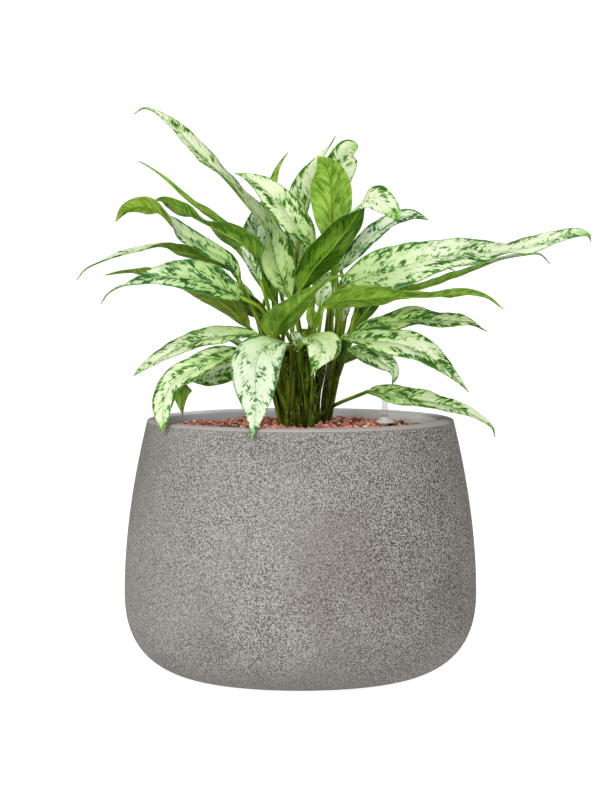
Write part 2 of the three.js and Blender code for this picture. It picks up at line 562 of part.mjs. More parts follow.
    midrib: [[70, 88, 442], [95, 102, 462], [125, 116, 474], [155, 128, 474], [180, 138, 464]],
    facing: [[-0.3, -0.2, 0.95], [-0.2, 0.1, 0.95], [0, 0.3, 0.95], [0.2, 0.3, 0.9],
      [0.5, 0.3, 0.8]],
    half: 18, belly: 0.4, fold: 8,
  },
  leaf_back_left_low: {
    stalk: [[-15, 53, 300], [-40, 74, 346], [-66, 84, 378]],
    midrib: [[-66, 84, 379], [-88, 98, 388], [-112, 112, 386], [-134, 124, 376],
      [-146, 130, 367]],
    facing: [[0, 0, 1], [0, 0.1, 1], [0, 0.2, 0.95], [-0.4, 0.2, 0.9], [-0.6, 0.3, 0.7]],
    half: 15, belly: 0.4, fold: 8,
  },
  leaf_back_right_low: {
    stalk: [[30, 96, 312], [36, 76, 340], [48, 60, 361]],
    midrib: [[48, 60, 361], [62, 65, 368], [82, 75, 374], [102, 86, 378]],
    facing: [[0, 0.6, 0.8], [0, 0.6, 0.8], [0.1, 0.6, 0.8], [0.5, 0.4, 0.8]],
    half: 15, belly: 0.4, fold: 8,
  },
  leaf_back_middle: {
    stalk: [[-26, 57, 352], [-18, 86, 412], [-24, 98, 446]],
    midrib: [[-24, 98, 448], [-28, 124, 478], [-30, 150, 494], [-30, 172, 490], [-28, 190, 474]],
    facing: [[0, -0.6, 0.8], [0, -0.4, 0.9], [0, 0, 1], [0, 0.5, 0.85], [0, 0.6, 0.8]],
    half: 17, belly: 0.4, fold: 8,
  },
  leaf_back_right_up: {
    stalk: [[42, 67, 380], [54, 80, 430], [46, 92, 468]],
    midrib: [[46, 92, 470], [42, 108, 505], [38, 120, 535], [34, 128, 560]],
    facing: [[0, -0.7, 0.7], [0, -0.7, 0.7], [0, -0.7, 0.7], [0, -0.6, 0.8]],
    half: 17, belly: 0.4, fold: 10,
  },
};

// Half width along the blade: a round base and a long thin tip
const bladeHalfWidth = ({ half, belly: widest, taper = USUAL_TAPER }, s) => {
  const quarter = Math.PI / 2;
  const rising = Math.sin(quarter * Math.min(s / widest, 1)) ** BASE_ROUNDNESS;
  const falling = Math.cos(quarter * Math.max((s - widest) / (1 - widest), 0)) ** taper;
  return Math.max(half * rising * falling, TIP_HALF_WIDTH);
};

// One row per step: centre, upper-side direction and place along the blade, below 0 on the stalk
const leafRows = ({ stalk, midrib, facing }) => {
  const stalkCurve = curveThrough(stalk);
  const ribCurve = curveThrough(midrib);
  const facingCurve = curveThrough(facing);
  const rows = [];
  for (let k = 0; k < STALK_STEPS; k += 1) {
    const place = k / STALK_STEPS;
    rows.push({ centre: stalkCurve.getPointAt(place), facing: facingCurve.getPoint(0), s: place - 1 });
  }
  const steps = Math.max(FEWEST_BLADE_STEPS, Math.round(ribCurve.getLength() / BLADE_STEP));
  for (let k = 0; k <= steps; k += 1) {
    const s = 1 - (1 - k / steps) ** TIP_CROWDING;
    const along = ribCurve.getUtoTmapping(s);
    rows.push({ centre: ribCurve.getPoint(along), facing: facingCurve.getPoint(along), s });
  }
  rows.forEach((row, index) => {
    const before = rows[Math.max(index - 1, 0)].centre;
    const after = rows[Math.min(index + 1, rows.length - 1)].centre;
    row.tangent = after.clone().sub(before).normalize();
    const lean = row.tangent.clone().multiplyScalar(row.facing.dot(row.tangent));
    row.up = row.facing.clone().sub(lean).normalize();
    row.side = row.tangent.clone().cross(row.up);
  });
  return rows;
};

const stalkRing = ({ centre, up, side, s }, growth) => {
  const sheath = Math.max(0, SHEATH_SHARE - 1 - s) / SHEATH_SHARE;
  const radius = THREE.MathUtils.lerp(STALK_RADIUS, SHEATH_RADIUS, sheath) + growth;
  return STALK_ANGLES.map((degrees) => {
    const angle = THREE.MathUtils.degToRad(degrees);
    return centre.clone()
      .addScaledVector(side, radius * Math.cos(angle))
      .addScaledVector(up, radius * Math.sin(angle));
  });
};

const bladeRing = (leaf, { centre, up, side, s }) => {
  const halfWidth = bladeHalfWidth(leaf, s);
  const fold = THREE.MathUtils.degToRad(leaf.fold);
  const share = halfWidth / leaf.half;
  const marginAt = (sign) => {
    const phase = 2 * Math.PI * (leaf.waves ?? 0) * s + (sign > 0 ? 0 : MARGIN_PHASE);
    const lift = halfWidth * Math.sin(fold) + (leaf.wave ?? 0) * share * Math.sin(phase);
    return centre.clone()
      .addScaledVector(side, sign * halfWidth * Math.cos(fold))
      .addScaledVector(up, lift);
  };
  const left = marginAt(-1);
  const right = marginAt(1);
  const under = (point, thickness) => point.clone().addScaledVector(up, -thickness);
  return [
    left,
    centre.clone(),
    right,
    under(right, BLADE_THICKNESS),
    under(centre, RIB_THICKNESS),
    under(left, BLADE_THICKNESS),
  ];
};

const leafSolid = (leaf, growth = 0) => {
  const rings = leafRows(leaf).map((row) => (
    row.s <= 0 ? stalkRing(row, growth) : bladeRing(leaf, row)
  ));
  return solidFrom(loft(rings));
};

// Water gauge: a clear tube with a coloured float, a cap and a flared collar on the granules

const gaugeFoot = GAUGE_TOP - GAUGE_DEPTH;
const floatFoot = gaugeFoot + GAUGE_FLOOR + GAP;
const capFoot = GAUGE_TOP + GAP;
const capTop = capFoot + GAUGE_CAP_HEIGHT;
const tubeBore = GAUGE_TUBE_RADIUS - GAUGE_TUBE_WALL;
const collarFoot = BED_HEIGHT + BED_RELIEF + GAP;

const turned = (outline) => (
  new THREE.LatheGeometry(planeVectors(outline), GAUGE_SIDES).rotateX(Math.PI / 2)
);

const gaugeTube = () => turned([
  [0, gaugeFoot],
  [GAUGE_TUBE_RADIUS, gaugeFoot],
  [GAUGE_TUBE_RADIUS, GAUGE_TOP],
  [tubeBore, GAUGE_TOP],
  [tubeBore, gaugeFoot + GAUGE_FLOOR],
  [0, gaugeFoot + GAUGE_FLOOR],
]);

const gaugeFloat = () => turned([
  [0, floatFoot],
  [FLOAT_RADIUS, floatFoot],
  [FLOAT_RADIUS, FLOAT_TOP],
  [0, FLOAT_TOP],
]);

const gaugeCap = () => turned([
  [0, capFoot],
  [GAUGE_CAP_RADIUS, capFoot],
  [GAUGE_CAP_RADIUS, capTop - GAUGE_CAP_CHAMFER],
  [GAUGE_CAP_RADIUS - GAUGE_CAP_CHAMFER, capTop],
  [0, capTop],
]);

const gaugeCollar = () => {
  const bore = GAUGE_TUBE_RADIUS + GAP;
  const top = collarFoot + COLLAR_HEIGHT;
  return turned([
    [bore, collarFoot],
    [COLLAR_RADIUS, collarFoot],
    [COLLAR_RADIUS, collarFoot + COLLAR_RIM_HEIGHT],
    [COLLAR_WAIST_RADIUS, collarFoot + COLLAR_WAIST_HEIGHT],
    [COLLAR_TOP_RADIUS, collarFoot + COLLAR_NECK_HEIGHT],
    [COLLAR_TOP_RADIUS, top],
    [bore, top],
    [bore, collarFoot],
  ]);
};

// Assembly

const pot = new THREE.Group();
pot.add(meshOf('planter', planterGeometry(), COLOURS.planter, 0.85));

const gauge = new THREE.Group();
gauge.position.set(GAUGE_X, GAUGE_Y, 0);
gauge.add(meshOf('gauge_tube', gaugeTube(), COLOURS.clear, 0.1));
gauge.add(meshOf('gauge_float', gaugeFloat(), COLOURS.float, 0.4));
gauge.add(meshOf('gauge_cap', gaugeCap(), COLOURS.clear, 0.3));
gauge.add(meshOf('gauge_collar', gaugeCollar(), COLOURS.clear, 0.15));
pot.add(gauge);

const plant = new THREE.Group();
const caneHoles = Object.values(CANES).map((cane) => caneSolid(cane, GAP));
for (const [name, cane] of Object.entries(CANES)) {
  plant.add(meshOf(name, geometryFrom(caneSolid(cane)), COLOURS.cane));
}
for (const [name, leaf] of Object.entries(LEAVES)) {
  let solid = leafSolid(leaf);
  for (const hole of caneHoles) solid = solid.subtract(hole);
  plant.add(meshOf(name, geometryFrom(largestBody(solid)), COLOURS.silver, 0.45));
}

const gaugeHole = new THREE.CylinderGeometry(
  GAUGE_TUBE_RADIUS + 2 * GAP,
  GAUGE_TUBE_RADIUS + 2 * GAP,
  GAUGE_DEPTH,
  GAUGE_SIDES,
);
gaugeHole.rotateX(Math.PI / 2);
gaugeHole.translate(GAUGE_X, GAUGE_Y, gaugeFoot - GAP + GAUGE_DEPTH / 2);
const lowLeafHole = leafSolid(LEAVES.leaf_right_low, GAP);
let granules = granuleFill().subtract(solidFrom(gaugeHole)).subtract(lowLeafHole);
for (const hole of caneHoles) granules = granules.subtract(hole);
pot.add(meshOf('granules', geometryFrom(largestBody(granules)), COLOURS.granules, 0.9));

const root = new THREE.Group();
root.add(pot, plant);
export default root;
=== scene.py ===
"""Potted silver queen Chinese evergreen: the fine pieces, their materials, the stage and the camera."""
import math
import random
from bisect import bisect_right
from collections import namedtuple
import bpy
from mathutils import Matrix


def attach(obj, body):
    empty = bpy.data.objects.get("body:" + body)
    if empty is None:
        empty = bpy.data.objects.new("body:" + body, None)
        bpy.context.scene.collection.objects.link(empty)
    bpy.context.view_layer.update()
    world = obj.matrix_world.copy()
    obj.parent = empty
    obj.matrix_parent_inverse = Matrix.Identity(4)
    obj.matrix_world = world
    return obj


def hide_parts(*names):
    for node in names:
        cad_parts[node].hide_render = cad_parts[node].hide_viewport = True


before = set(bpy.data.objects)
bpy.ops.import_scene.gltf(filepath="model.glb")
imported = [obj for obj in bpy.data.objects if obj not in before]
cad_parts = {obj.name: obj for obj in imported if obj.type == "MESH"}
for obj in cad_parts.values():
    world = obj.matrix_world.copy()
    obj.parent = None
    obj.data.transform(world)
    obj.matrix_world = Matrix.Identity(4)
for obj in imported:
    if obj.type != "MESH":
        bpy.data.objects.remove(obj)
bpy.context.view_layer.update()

from types import SimpleNamespace

import bmesh
import bpy
from mathutils import Vector, noise

MM = 0.001

# The canes as the CAD model has them, in millimetres: radius and middle line
CANES = {
    "cane_front_left": (10, [-10,-20,245, -11,-22,330, -14,-26,388]),
    "cane_front_middle": (7.5, [10,-24,245, 9,-27,330, 7,-30,394]),
    "cane_right": (7, [29,82,245, 31,52,320, 45,4,394]),
    "cane_middle_right": (6, [17,70,245, 18,60,320, 30,28,392]),
    "cane_left": (6, [-14,14,245, -21,11,320, -34,8,388]),
    "cane_middle": (7.5, [2,20,245, 4,21,330, 7,22,402]),
    "cane_back_left": (6.5, [-11,52,245, -17,55,320, -34,59,392]),
    "cane_back_right": (6.5, [30,108,245, 30,94,320, 44,64,388]),
}

# The leaves by the fields of Leaf: fold in degrees, tones as shares, points as x,y,z, facing in hundredths

Leaf = namedtuple(
    "Leaf", "half belly taper fold cover cool dark olive stalk midrib facing wave waves", defaults=(0, 1)
)
LEAVES = {
    "leaf_left_top": (26,0.28,1.2,12, 0.4,-0.3,0.45,0.2, [6,22,374, -4,17,408, -12,16,437], [-12,16,437,
  -26,16,475, -36,14,512, -64,8,549, -84,4,573, -114,0,602, -144,-4,635, -177,-8,655, -189,-8,648],
  [20,-90,10, 30,-90,20, 72,-35,50, 75,-17,62, 70,-12,70, 60,-55,60, 45,-65,55, 0,-30,90, -70,-30,50]),
    "leaf_left_thin": (14,0.35,1.5,8, 0.3,0.2,0,0, [-30,58,366, -27,50,424, -30,43,458], [-30,43,458,
  -62,40,496, -97,36,527, -125,32,547, -158,26,577, -176,22,590, -185,20,594], [60,34,72] + [60,38,70] * 4 +
  [40,38,85, 10,35,90]),
    "leaf_left_curled": (16.5,0.52,0.75,12, 0.5,0.6,0.45,0.6, [-31,9,366, -52,12,420, -68,8,456],
  [-68,8,456, -82,4,480, -112,-4,497, -138,-10,514, -157,-14,534, -175,-16,543, -197,-14,541, -210,-12,526],
  [50,-80,30, 30,-75,60, 20,-65,80, 50,-50,70, 50,20,85, 10,90,55, -20,85,50, -60,60,50]),
    "leaf_left_dark": (21,0.4,0.9,8, 0.5,0.5,0.7,0, [6,24,352, -16,26,398, -28,28,431], [-28,28,431,
  -42,26,462, -60,22,495, -86,16,512, -113,12,526, -136,8,539, -153,4,548, -167,20,550], [40,85,20,
  50,80,30, 50,70,50, 40,60,70, 40,5,90, 30,75,60, 20,80,40, -40,40,60]),
    "leaf_left_small": (9.5,0.4,1.5,10, 0.6,0.6,0.6,0.1, [-31,8,378, -35,2,420, -44,4,456], [-44,4,456,
  -54,4,475, -64,4,491, -73,2,503], [60,-75,30] * 3 + [50,-70,50]),
    "leaf_left_long": (15,0.3,1.5,8, 0.35,0.5,0.55,0.7, [-22,56,342, -46,36,408, -76,26,468], [-76,26,468,
  -105,22,484, -132,18,490, -160,14,498, -184,10,493, -205,8,488, -228,6,480, -246,4,471, -255,2,459],
  [30,60,70, 10,60,80, 0,50,85, 0,15,100, 5,-20,95, 10,-25,95, 10,-10,100, -40,20,90, -90,20,30]),
    "leaf_left_big": (22.5,0.3,2.2,10, 0.68,0.7,0.5,0.75, [-28,10,352, -31,-7,400, -46,-14,428,
  -64,-16,438], [-64,-16,438, -82,-20,448, -105,-26,459, -135,-32,465, -165,-36,464, -188,-38,458,
  -206,-40,453, -219,-41,445, -226,-41,434], [10,-75,65, 10,-80,60, 0,-80,60, 0,-80,60, -10,-70,70,
  -10,-50,85, -30,-40,85, -70,-30,60, -100,-30,0]),
    "leaf_left_olive": (20,0.35,0.9,8, 0.5,0.5,0.6,1, [-24,10,334, -39,21,380, -58,16,403], [-58,16,403,
  -80,12,426, -112,8,447, -150,2,463, -180,-2,468, -203,-4,468, -223,-6,465], [30,70,60, 30,70,60, 20,65,70,
  0,50,85, 0,40,90] + [-10,30,95] * 2),
    "leaf_back_left_dark": (17,0.35,1.5,8, 0.5,0.5,1,0.2, [-17,55,322, -22,45,382, -36,49,412], [-36,50,412,
  -58,55,425, -85,66,439, -110,76,446, -130,84,447], [10,70,70, 0,70,70, 0,60,80, 0,50,85, -20,40,90]),
    "leaf_middle_left": (20,0.42,1.1,10, 0.42,0,0.4,0.25, [7,22,380, 15,6,436, 15,0,495], [15,0,495,
  -3,-4,520, -21,-6,542, -41,-8,563, -60,-10,576, -75,-12,581], [50,-75,40, 40,-80,45, 35,-85,40, 30,-85,45,
  20,-80,55, 0,-70,70]),
    "leaf_left_behind": (20,0.5,1.5,10, 0.38,0.7,0.5,0.1, [-27,57,362, -46,60,402, -36,68,449], [-36,68,449,
  -44,69,479, -50,68,507, -48,65,533, -42,62,553], [20,-90,20] * 4 + [20,-80,40]),
    "leaf_middle_dark": (25,0.28,0.5,6, 0.35,0.2,1,0, [-13,-26,374, -8,-24,412, -2,-24,448], [-2,-24,448,
  13,-30,472, 35,-36,497, 55,-38,523, 65,-47,540, 72,-56,550, 83,-63,555, 92,-68,551, 101,-71,543,
  111,-73,531], [-50,80,30, -50,80,40, -50,75,45, -50,60,60, -55,10,80, -50,-30,80, -40,-64,66, -22,-84,26,
  -15,-95,20, 0,-100,10]),
    "leaf_middle_bright": (24,0.55,0.85,6, 0.4,0.3,0.28,0, [44,9,384, 43,10,430, 38,2,496], [38,2,496,
  36,-2,527, 35,-8,556, 31,-18,584, 20,-28,600], [0,95,10, 0,95,10, 0,95,20, -10,90,40, -30,80,50]),
    "leaf_middle_top": (19,0.65,0.55,8, 0.34,0,0.4,0.1, [29,32,382, 35,34,444, 39,34,504], [39,34,504,
  38,34,545, 42,32,575, 49,29,595, 55,24,607, 66,18,611], [-70,-60,10, -60,-70,10, -30,-90,20, 0,-95,20,
  10,-95,25, 20,-90,40]),
    "leaf_middle_folded": (22.5,0.38,2,38, 0.3,0,0.4,0.2, [7,22,388, -7,32,440, -2,38,505], [-2,38,505,
  4,40,538, 13,42,568, 25,42,596, 40,40,622], [-60,-75,20] * 5),
    "leaf_spike": (11,0.4,1.5,20, 1,0.1,0.1,0.6, [-33,60,388, -31,84,440, -43,86,517], [-43,84,517,
  -39,86,545, -33.5,86,570, -25.5,86,587, -14,86,602], [80,50,-30] * 4 + [80,50,-50]),
    "leaf_right_thin": (16,0.4,0.8,12, 0.5,0.9,0.5,0.1, [26,39,368, 32,42,420, 38,40,464], [38,40,464,
  62,37,487, 86,31,511, 108,27,526, 126,22,532, 146,16,527], [-40,-60,70] * 3 + [-30,-60,80, 10,-80,60,
  50,-65,60]),
    "leaf_right_largest": (27.5,0.22,0.8,6, 0.46,0.35,0.75,0, [41,17,370, 45,-8,408, 44,-16,449],
  [44,-16,451, 85,-24,467, 128,-30,479, 165,-32,488, 200,-32,491, 232,-32,494, 262,-32,499, 292,-32,509,
  315,-34,514, 326,-36,511, 329,-36,504], [0,-90,40, 0,-90,40, 0,-80,58, -10,-62,78, -15,-60,75, -20,-30,95,
  -30,-60,75, -30,-65,70, -10,-85,40, 40,-80,30, 90,-30,-10]),
    "leaf_right_under": (10.5,0.45,1.5,8, 0.4,0.4,0.55,0.1, [38,27,358, 58,18,404, 66,8,436], [66,8,436,
  100,4,446, 135,2,450.5, 168,0,461, 198,-4,472, 226,-8,483, 252,-10,488, 273,-10,489, 284,-10,478],
  [-20,70,70, -20,50,80, -20,42,85, -20,40,88, -30,30,90, -20,-30,90, -10,-35,90, 20,-30,90, 80,-20,50]),
    "leaf_right_green": (19,0.25,0.9,8, 0.4,0.2,0.5,0, [7,-30,350, 19,-44,394, 24,-42,427], [24,-42,429,
  50,-47,439, 85,-52,442, 120,-56,443, 155,-58,444, 182,-58,447, 209,-58,443, 229,-58,429], [-20,75,60,
  -10,75,65, 0,60,75, 0,30,95, 0,30,95, 10,50,85, 30,40,85, 50,40,75]),
    "leaf_right_middle": (20,0.4,1.1,8, 0.64,0,0.4,0.85, [35,40,338, 54,8,378, 60,2,399], [60,2,400,
  90,0,409, 125,-4,414, 158,-6,413, 188,-8,412, 213,-10,401], [0,-50,85] * 4 + [10,-50,85,
  30,-40,85], 3, 2.5),
    "leaf_back_right_dark": (12,0.4,1.5,8, 0.5,0.5,1,0.1, [36,81,350, 49,63,384, 58,58,399], [58,58,399,
  70,62,415, 85,66,432, 100,70,448, 112,74,458], [-20,80,50] * 3 + [-10,70,60, 0,60,80]),
    "leaf_right_droop": (19,0.45,1.1,8, 0.58,0.2,0.4,0.2, [31,52,318, 36,6,360, 46,-26,395], [46,-26,396,
  85,-34,392, 122,-42,386, 152,-48,371, 174,-52,353, 190,-54,335], [10,-70,70, 10,-75,65, 15,-80,60,
  30,-75,55, 50,-65,55, 60,-60,50], 2.5, 2),
    "leaf_right_hook": (14.5,0.45,1,8, 0.45,0.3,0.4,0.3, [32,60,296, 44,14,350, 54,-25,381], [53,-25,382,
  74,-29,376, 94,-35,367, 106,-39,356, 104,-41,341], [20,-70,70, 20,-80,60, 40,-80,50, 70,-70,30,
  80,-60,-10]),
    "leaf_right_low": (16,0.2,1,8, 0.42,0.2,0.4,0.45, [15,44,258, 16,42,290, 32,24,310, 76,-20,333],
  [76,-20,333, 98,-24,331, 125,-28,326, 164,-32,319, 200,-35,306, 218,-36,293, 221,-36,282],
  [0,-60,80] * 3 + [10,-60,80, 30,-60,70, 80,-50,30, 90,-40,0], 1.5, 3),
    "leaf_front_droop": (29,0.4,1.2,6, 0.25,0.9,0.3,0.1, [-13,-26,352, -10,-38,379, -10,-50,387],
  [-10,-50,388, -34,-78,391, -48,-102,375, -50,-130,348, -50,-157,319, -54,-180,290], [0,-30,95,
  -10,-50,85] + [-10,-75,65] * 3 + [-10,-75,60]),
    "leaf_front_small": (22,0.4,1.3,6, 0.45,0.1,0.2,0.55, [9,-28,326, -2,-48,372, 0,-55,393], [1,-54,394,
  14,-68,397, 25,-84,389, 20,-100,374, 12,-110,357], [10,-30,95, 20,-50,85, 20,-80,50, 0,-85,50,
  -30,-90,20]),
    "leaf_front_tiny": (8.5,0.4,1.5,15, 0.4,0.4,0.3,0.1, [-13,-26,374, -5,-34,382, 1,-39,384], [1,-39,384,
  -4,-44,394, -12,-51,405], [20,-90,35] * 3),
    "leaf_front_green": (25,0.2,1.8,6, 0.4,0.4,0.4,0, [-13,-26,340, -26,-34,374, -31,-38,394], [-31,-38,396,
  -22,-54,415, -6,-74,433, 16,-92,453, 40,-106,468, 63,-116,471], [-40,75,50] * 2 + [-40,60,70, -40,30,90,
  -35,25,90, -20,20,95]),
    "leaf_left_low": (19,0.4,0.75,10, 0.48,0.2,0.3,0.3, [-23,11,322, -39,-1,364, -47,-11,397], [-47,-11,398,
  -72,-18,398, -98,-24,395, -128,-28,387, -156,-31,374, -176,-33,362, -189,-34,352], [-10,-50,85] * 3 +
  [-20,-50,85, -30,-50,80, -50,-50,70, -60,-50,60]),
    "leaf_left_front_droop": (18.5,0.5,0.8,6, 0.45,0.2,0.3,0.3, [-12,-25,328, -38,-40,356, -62,-48,370,
  -80,-54,374], [-80,-54,374, -98,-62,369.5, -119,-70,362, -135,-77,354.5, -146,-84,345, -152,-92,332,
  -155,-98,315, -154,-103,293], [-20,-45,85, -20,-50,85, -30,-70,65, -40,-75,50, -60,-75,35, -50,-85,10] +
  [-40,-90,10] * 2),
    "leaf_left_front_broad": (23,0.35,1.1,6, 0.6,0,0,0, [-19,11,300, -42,-14,354, -56,-27,376],
  [-56,-27,374, -84,-36,366, -108,-44,359, -124,-49,352, -134,-52,338, -135,-54,324, -133,-55,308],
  [0,-90,40, 0,-95,30, -20,-95,30, -50,-80,30, -35,90,10, -40,90,0, -30,90,0]),
    "leaf_front_upright": (10,0.5,1,8, 0.35,0.4,0.3,0.1, [7,-30,382, 15,-24,404, 22,-28,427], [22,-28,428,
  25,-36,444, 29,-43,456, 31,-48,465], [0,-90,10, 0,-90,-20] + [0,-90,-30] * 2),
    "leaf_front_narrow": (7,0.4,1.5,8, 0.4,0.4,0.3,0.1, [7,-30,366, 15,-14,388, 16,-12,402], [16,-12,402,
  13,-12,418, 8,-12,436], [-30,85,30] * 3),
    "leaf_right_behind": (10,0.4,1.5,10, 0.45,0.4,0.6,0.1, [42,12,380, 41,20,390, 45,23,408], [45,23,408,
  47,22,425, 50,22,440, 56,22,455], [10,-90,20] * 4),
    "leaf_back_up": (18,0.4,1.5,10, 0.45,0.4,0.5,0.2, [6,22,360, 12,50,430, 4,66,470], [4,66,470, 0,84,505,
  -4,102,536, -6,118,558], [0,-70,70] * 3 + [0,-60,80]),
    "leaf_back_droop": (18,0.45,1.5,8, 0.45,0.4,0.5,0.2, [37,77,358, 36,80,406, 38,86,436], [38,86,436,
  26,112,456, 10,140,458, -4,164,440, -12,180,414], [0,-50,85, 0,-30,95, 0,10,100, 0,60,80, 0,70,70]),
    "leaf_back_left_arch": (18,0.4,1.5,8, 0.45,0.4,0.5,0.2, [-20,57,326, -44,80,388, -54,92,429],
  [-54,92,430, -74,108,448, -98,124,456, -122,138,454, -140,148,444], [20,-20,95, 20,10,95, 0,30,95,
  -20,40,90, -50,50,70]),
    "leaf_back_right_arch": (18,0.4,1.5,8, 0.45,0.4,0.5,0.2, [33,88,334, 58,90,390, 70,88,440], [70,88,442,
  95,102,462, 125,116,474, 155,128,474, 180,138,464], [-30,-20,95, -20,10,95, 0,30,95, 20,30,90, 50,30,80]),
    "leaf_back_left_low": (15,0.4,1.5,8, 0.45,0.4,0.5,0.2, [-15,53,300, -40,74,346, -66,84,378],
  [-66,84,379, -88,98,388, -112,112,386, -134,124,376, -146,130,367], [0,0,100, 0,10,100, 0,20,95,
  -40,20,90, -60,30,70]),
    "leaf_back_right_low": (15,0.4,1.5,8, 0.45,0.4,0.5,0.2, [30,96,312, 36,76,340, 48,60,361], [48,60,361,
  62,65,368, 82,75,374, 102,86,378], [0,60,80, 0,60,80, 10,60,80, 50,40,80]),
    "leaf_back_middle": (17,0.4,1.5,8, 0.45,0.4,0.5,0.2, [-26,57,352, -18,86,412, -24,98,446], [-24,98,448,
  -28,124,478, -30,150,494, -30,172,490, -28,190,474], [0,-60,80, 0,-40,90, 0,0,100, 0,50,85, 0,60,80]),
    "leaf_back_right_up": (17,0.4,1.5,10, 0.45,0.4,0.5,0.2, [42,67,380, 54,80,430, 46,92,468], [46,92,470,
  42,108,505, 38,120,535, 34,128,560], [0,-70,70] * 3 + [0,-60,80]),
}


# Kit

def linear(colour):
    """Three screen values from 0 to 255 as the linear colour that materials take."""
    shares = [value / 255 for value in colour]
    return (*[s / 12.92 if s <= 0.04045 else ((s + 0.055) / 1.055) ** 2.4 for s in shares], 1.0)


def lerp(a, b, share):
    return a + (b - a) * share


def triples(values, unit=1):
    """A flat row of numbers as points."""
    return [tuple(v / unit for v in values[k:k + 3]) for k in range(0, len(values), 3)]


def smooth(low, high, value):
    share = min(max((value - low) / (high - low), 0.0), 1.0)
    return share * share * (3 - 2 * share)


def spot(x, y, z):
    """A value between -1 and 1 that drifts smoothly from place to place."""
    return noise.noise(Vector((x, y, z)))


NOW = SimpleNamespace()


def start(name):
    """Starts a material. The calls below add nodes to it. A colour is three screen values."""
    NOW.material = bpy.data.materials.new(name)
    NOW.material.use_nodes = True
    NOW.tree = NOW.material.node_tree
    NOW.tree.nodes.clear()


def finish(surface):
    add("OutputMaterial", {"Surface": surface})
    return NOW.material


def add(kind, inputs=None, **settings):
    node = NOW.tree.nodes.new("ShaderNode" + kind)
    for key, value in settings.items():
        setattr(node, key, value)
    for key, value in (inputs or {}).items():
        if isinstance(value, bpy.types.NodeSocket):
            NOW.tree.links.new(value, node.inputs[key])
        else:
            node.inputs[key].default_value = linear(value) if isinstance(value, tuple) else value
    return node


def maths(operation, a, b=0, c=0):
    return add("Math", {0: a, 1: b, 2: c}, operation=operation).outputs[0]


def times(a, b):
    return maths("MULTIPLY", a, b)


def plus(a, b):
    return maths("ADD", a, b)


def most(a, b):
    return maths("MAXIMUM", a, b)


def step(value, low, high, first=0, last=1):
    """A smooth change from first to last while the value goes from low to high."""
    ends = {"Value": value, "From Min": low, "From Max": high, "To Min": first, "To Max": last}
    return add("MapRange", ends, interpolation_type="SMOOTHSTEP").outputs["Result"]


def split(vector):
    return add("SeparateXYZ", {0: vector}).outputs[:3]


def join(x, y, z):
    return add("CombineXYZ", {0: x, 1: y, 2: z}).outputs[0]


def attribute(name):
    return split(add("Attribute", attribute_name=name).outputs["Vector"])


def position():
    return add("TexCoord").outputs["Object"]


def clouds(vector, scale, detail=2, roughness=0.5, distortion=0):
    shape = {"Detail": detail, "Roughness": roughness, "Distortion": distortion}
    return add("TexNoise", {"Vector": vector, "Scale": scale, **shape}).outputs["Fac"]


def stretched(along, length, across, width, seed, *settings):
    """Clouds of about a length and a width in millimetres."""
    return clouds(join(times(along, 1 / length), times(across, 1 / width), seed), 1, *settings)


def cell_noise(vector, scale=1):
    return add("TexVoronoi", {"Vector": vector, "Scale": scale}).outputs


def mix(share, a, b):
    return add("Mix", {0: share, 6: a, 7: b}, data_type="RGBA").outputs[2]


def over(colour, share, strength, tone):
    """The colour with a tone laid over a share of it."""
    return mix(times(share, strength), colour, tone)


def ramp(value, stops):
    node = add("ValToRGB", {0: value})
    band = node.color_ramp
    while len(band.elements) > 1:
        band.elements.remove(band.elements[-1])
    band.elements[0].color = linear(stops[0][1])
    for place, colour in stops[1:]:
        band.elements.new(place).color = linear(colour)
    return node.outputs[0]


def bump(height, strength, distance):
    inputs = {"Height": height, "Strength": strength, "Distance": distance}
    return add("Bump", inputs).outputs[0]


def skin(colour, roughness, specular=0.5, normal=None, **others):
    inputs = {key.replace("_", " "): value for key, value in others.items()}
    inputs.update({"Base Color": colour, "Roughness": roughness, "Specular IOR Level": specular})
    if normal:
        inputs["Normal"] = normal
    return add("BsdfPrincipled", inputs).outputs[0]


def leaky(front, colour, share):
    """A surface that lets a share of the light through in a colour."""
    glow = add("BsdfTranslucent", {"Color": colour}).outputs[0]
    return add("MixShader", {0: share, 1: front, 2: glow}).outputs[0]


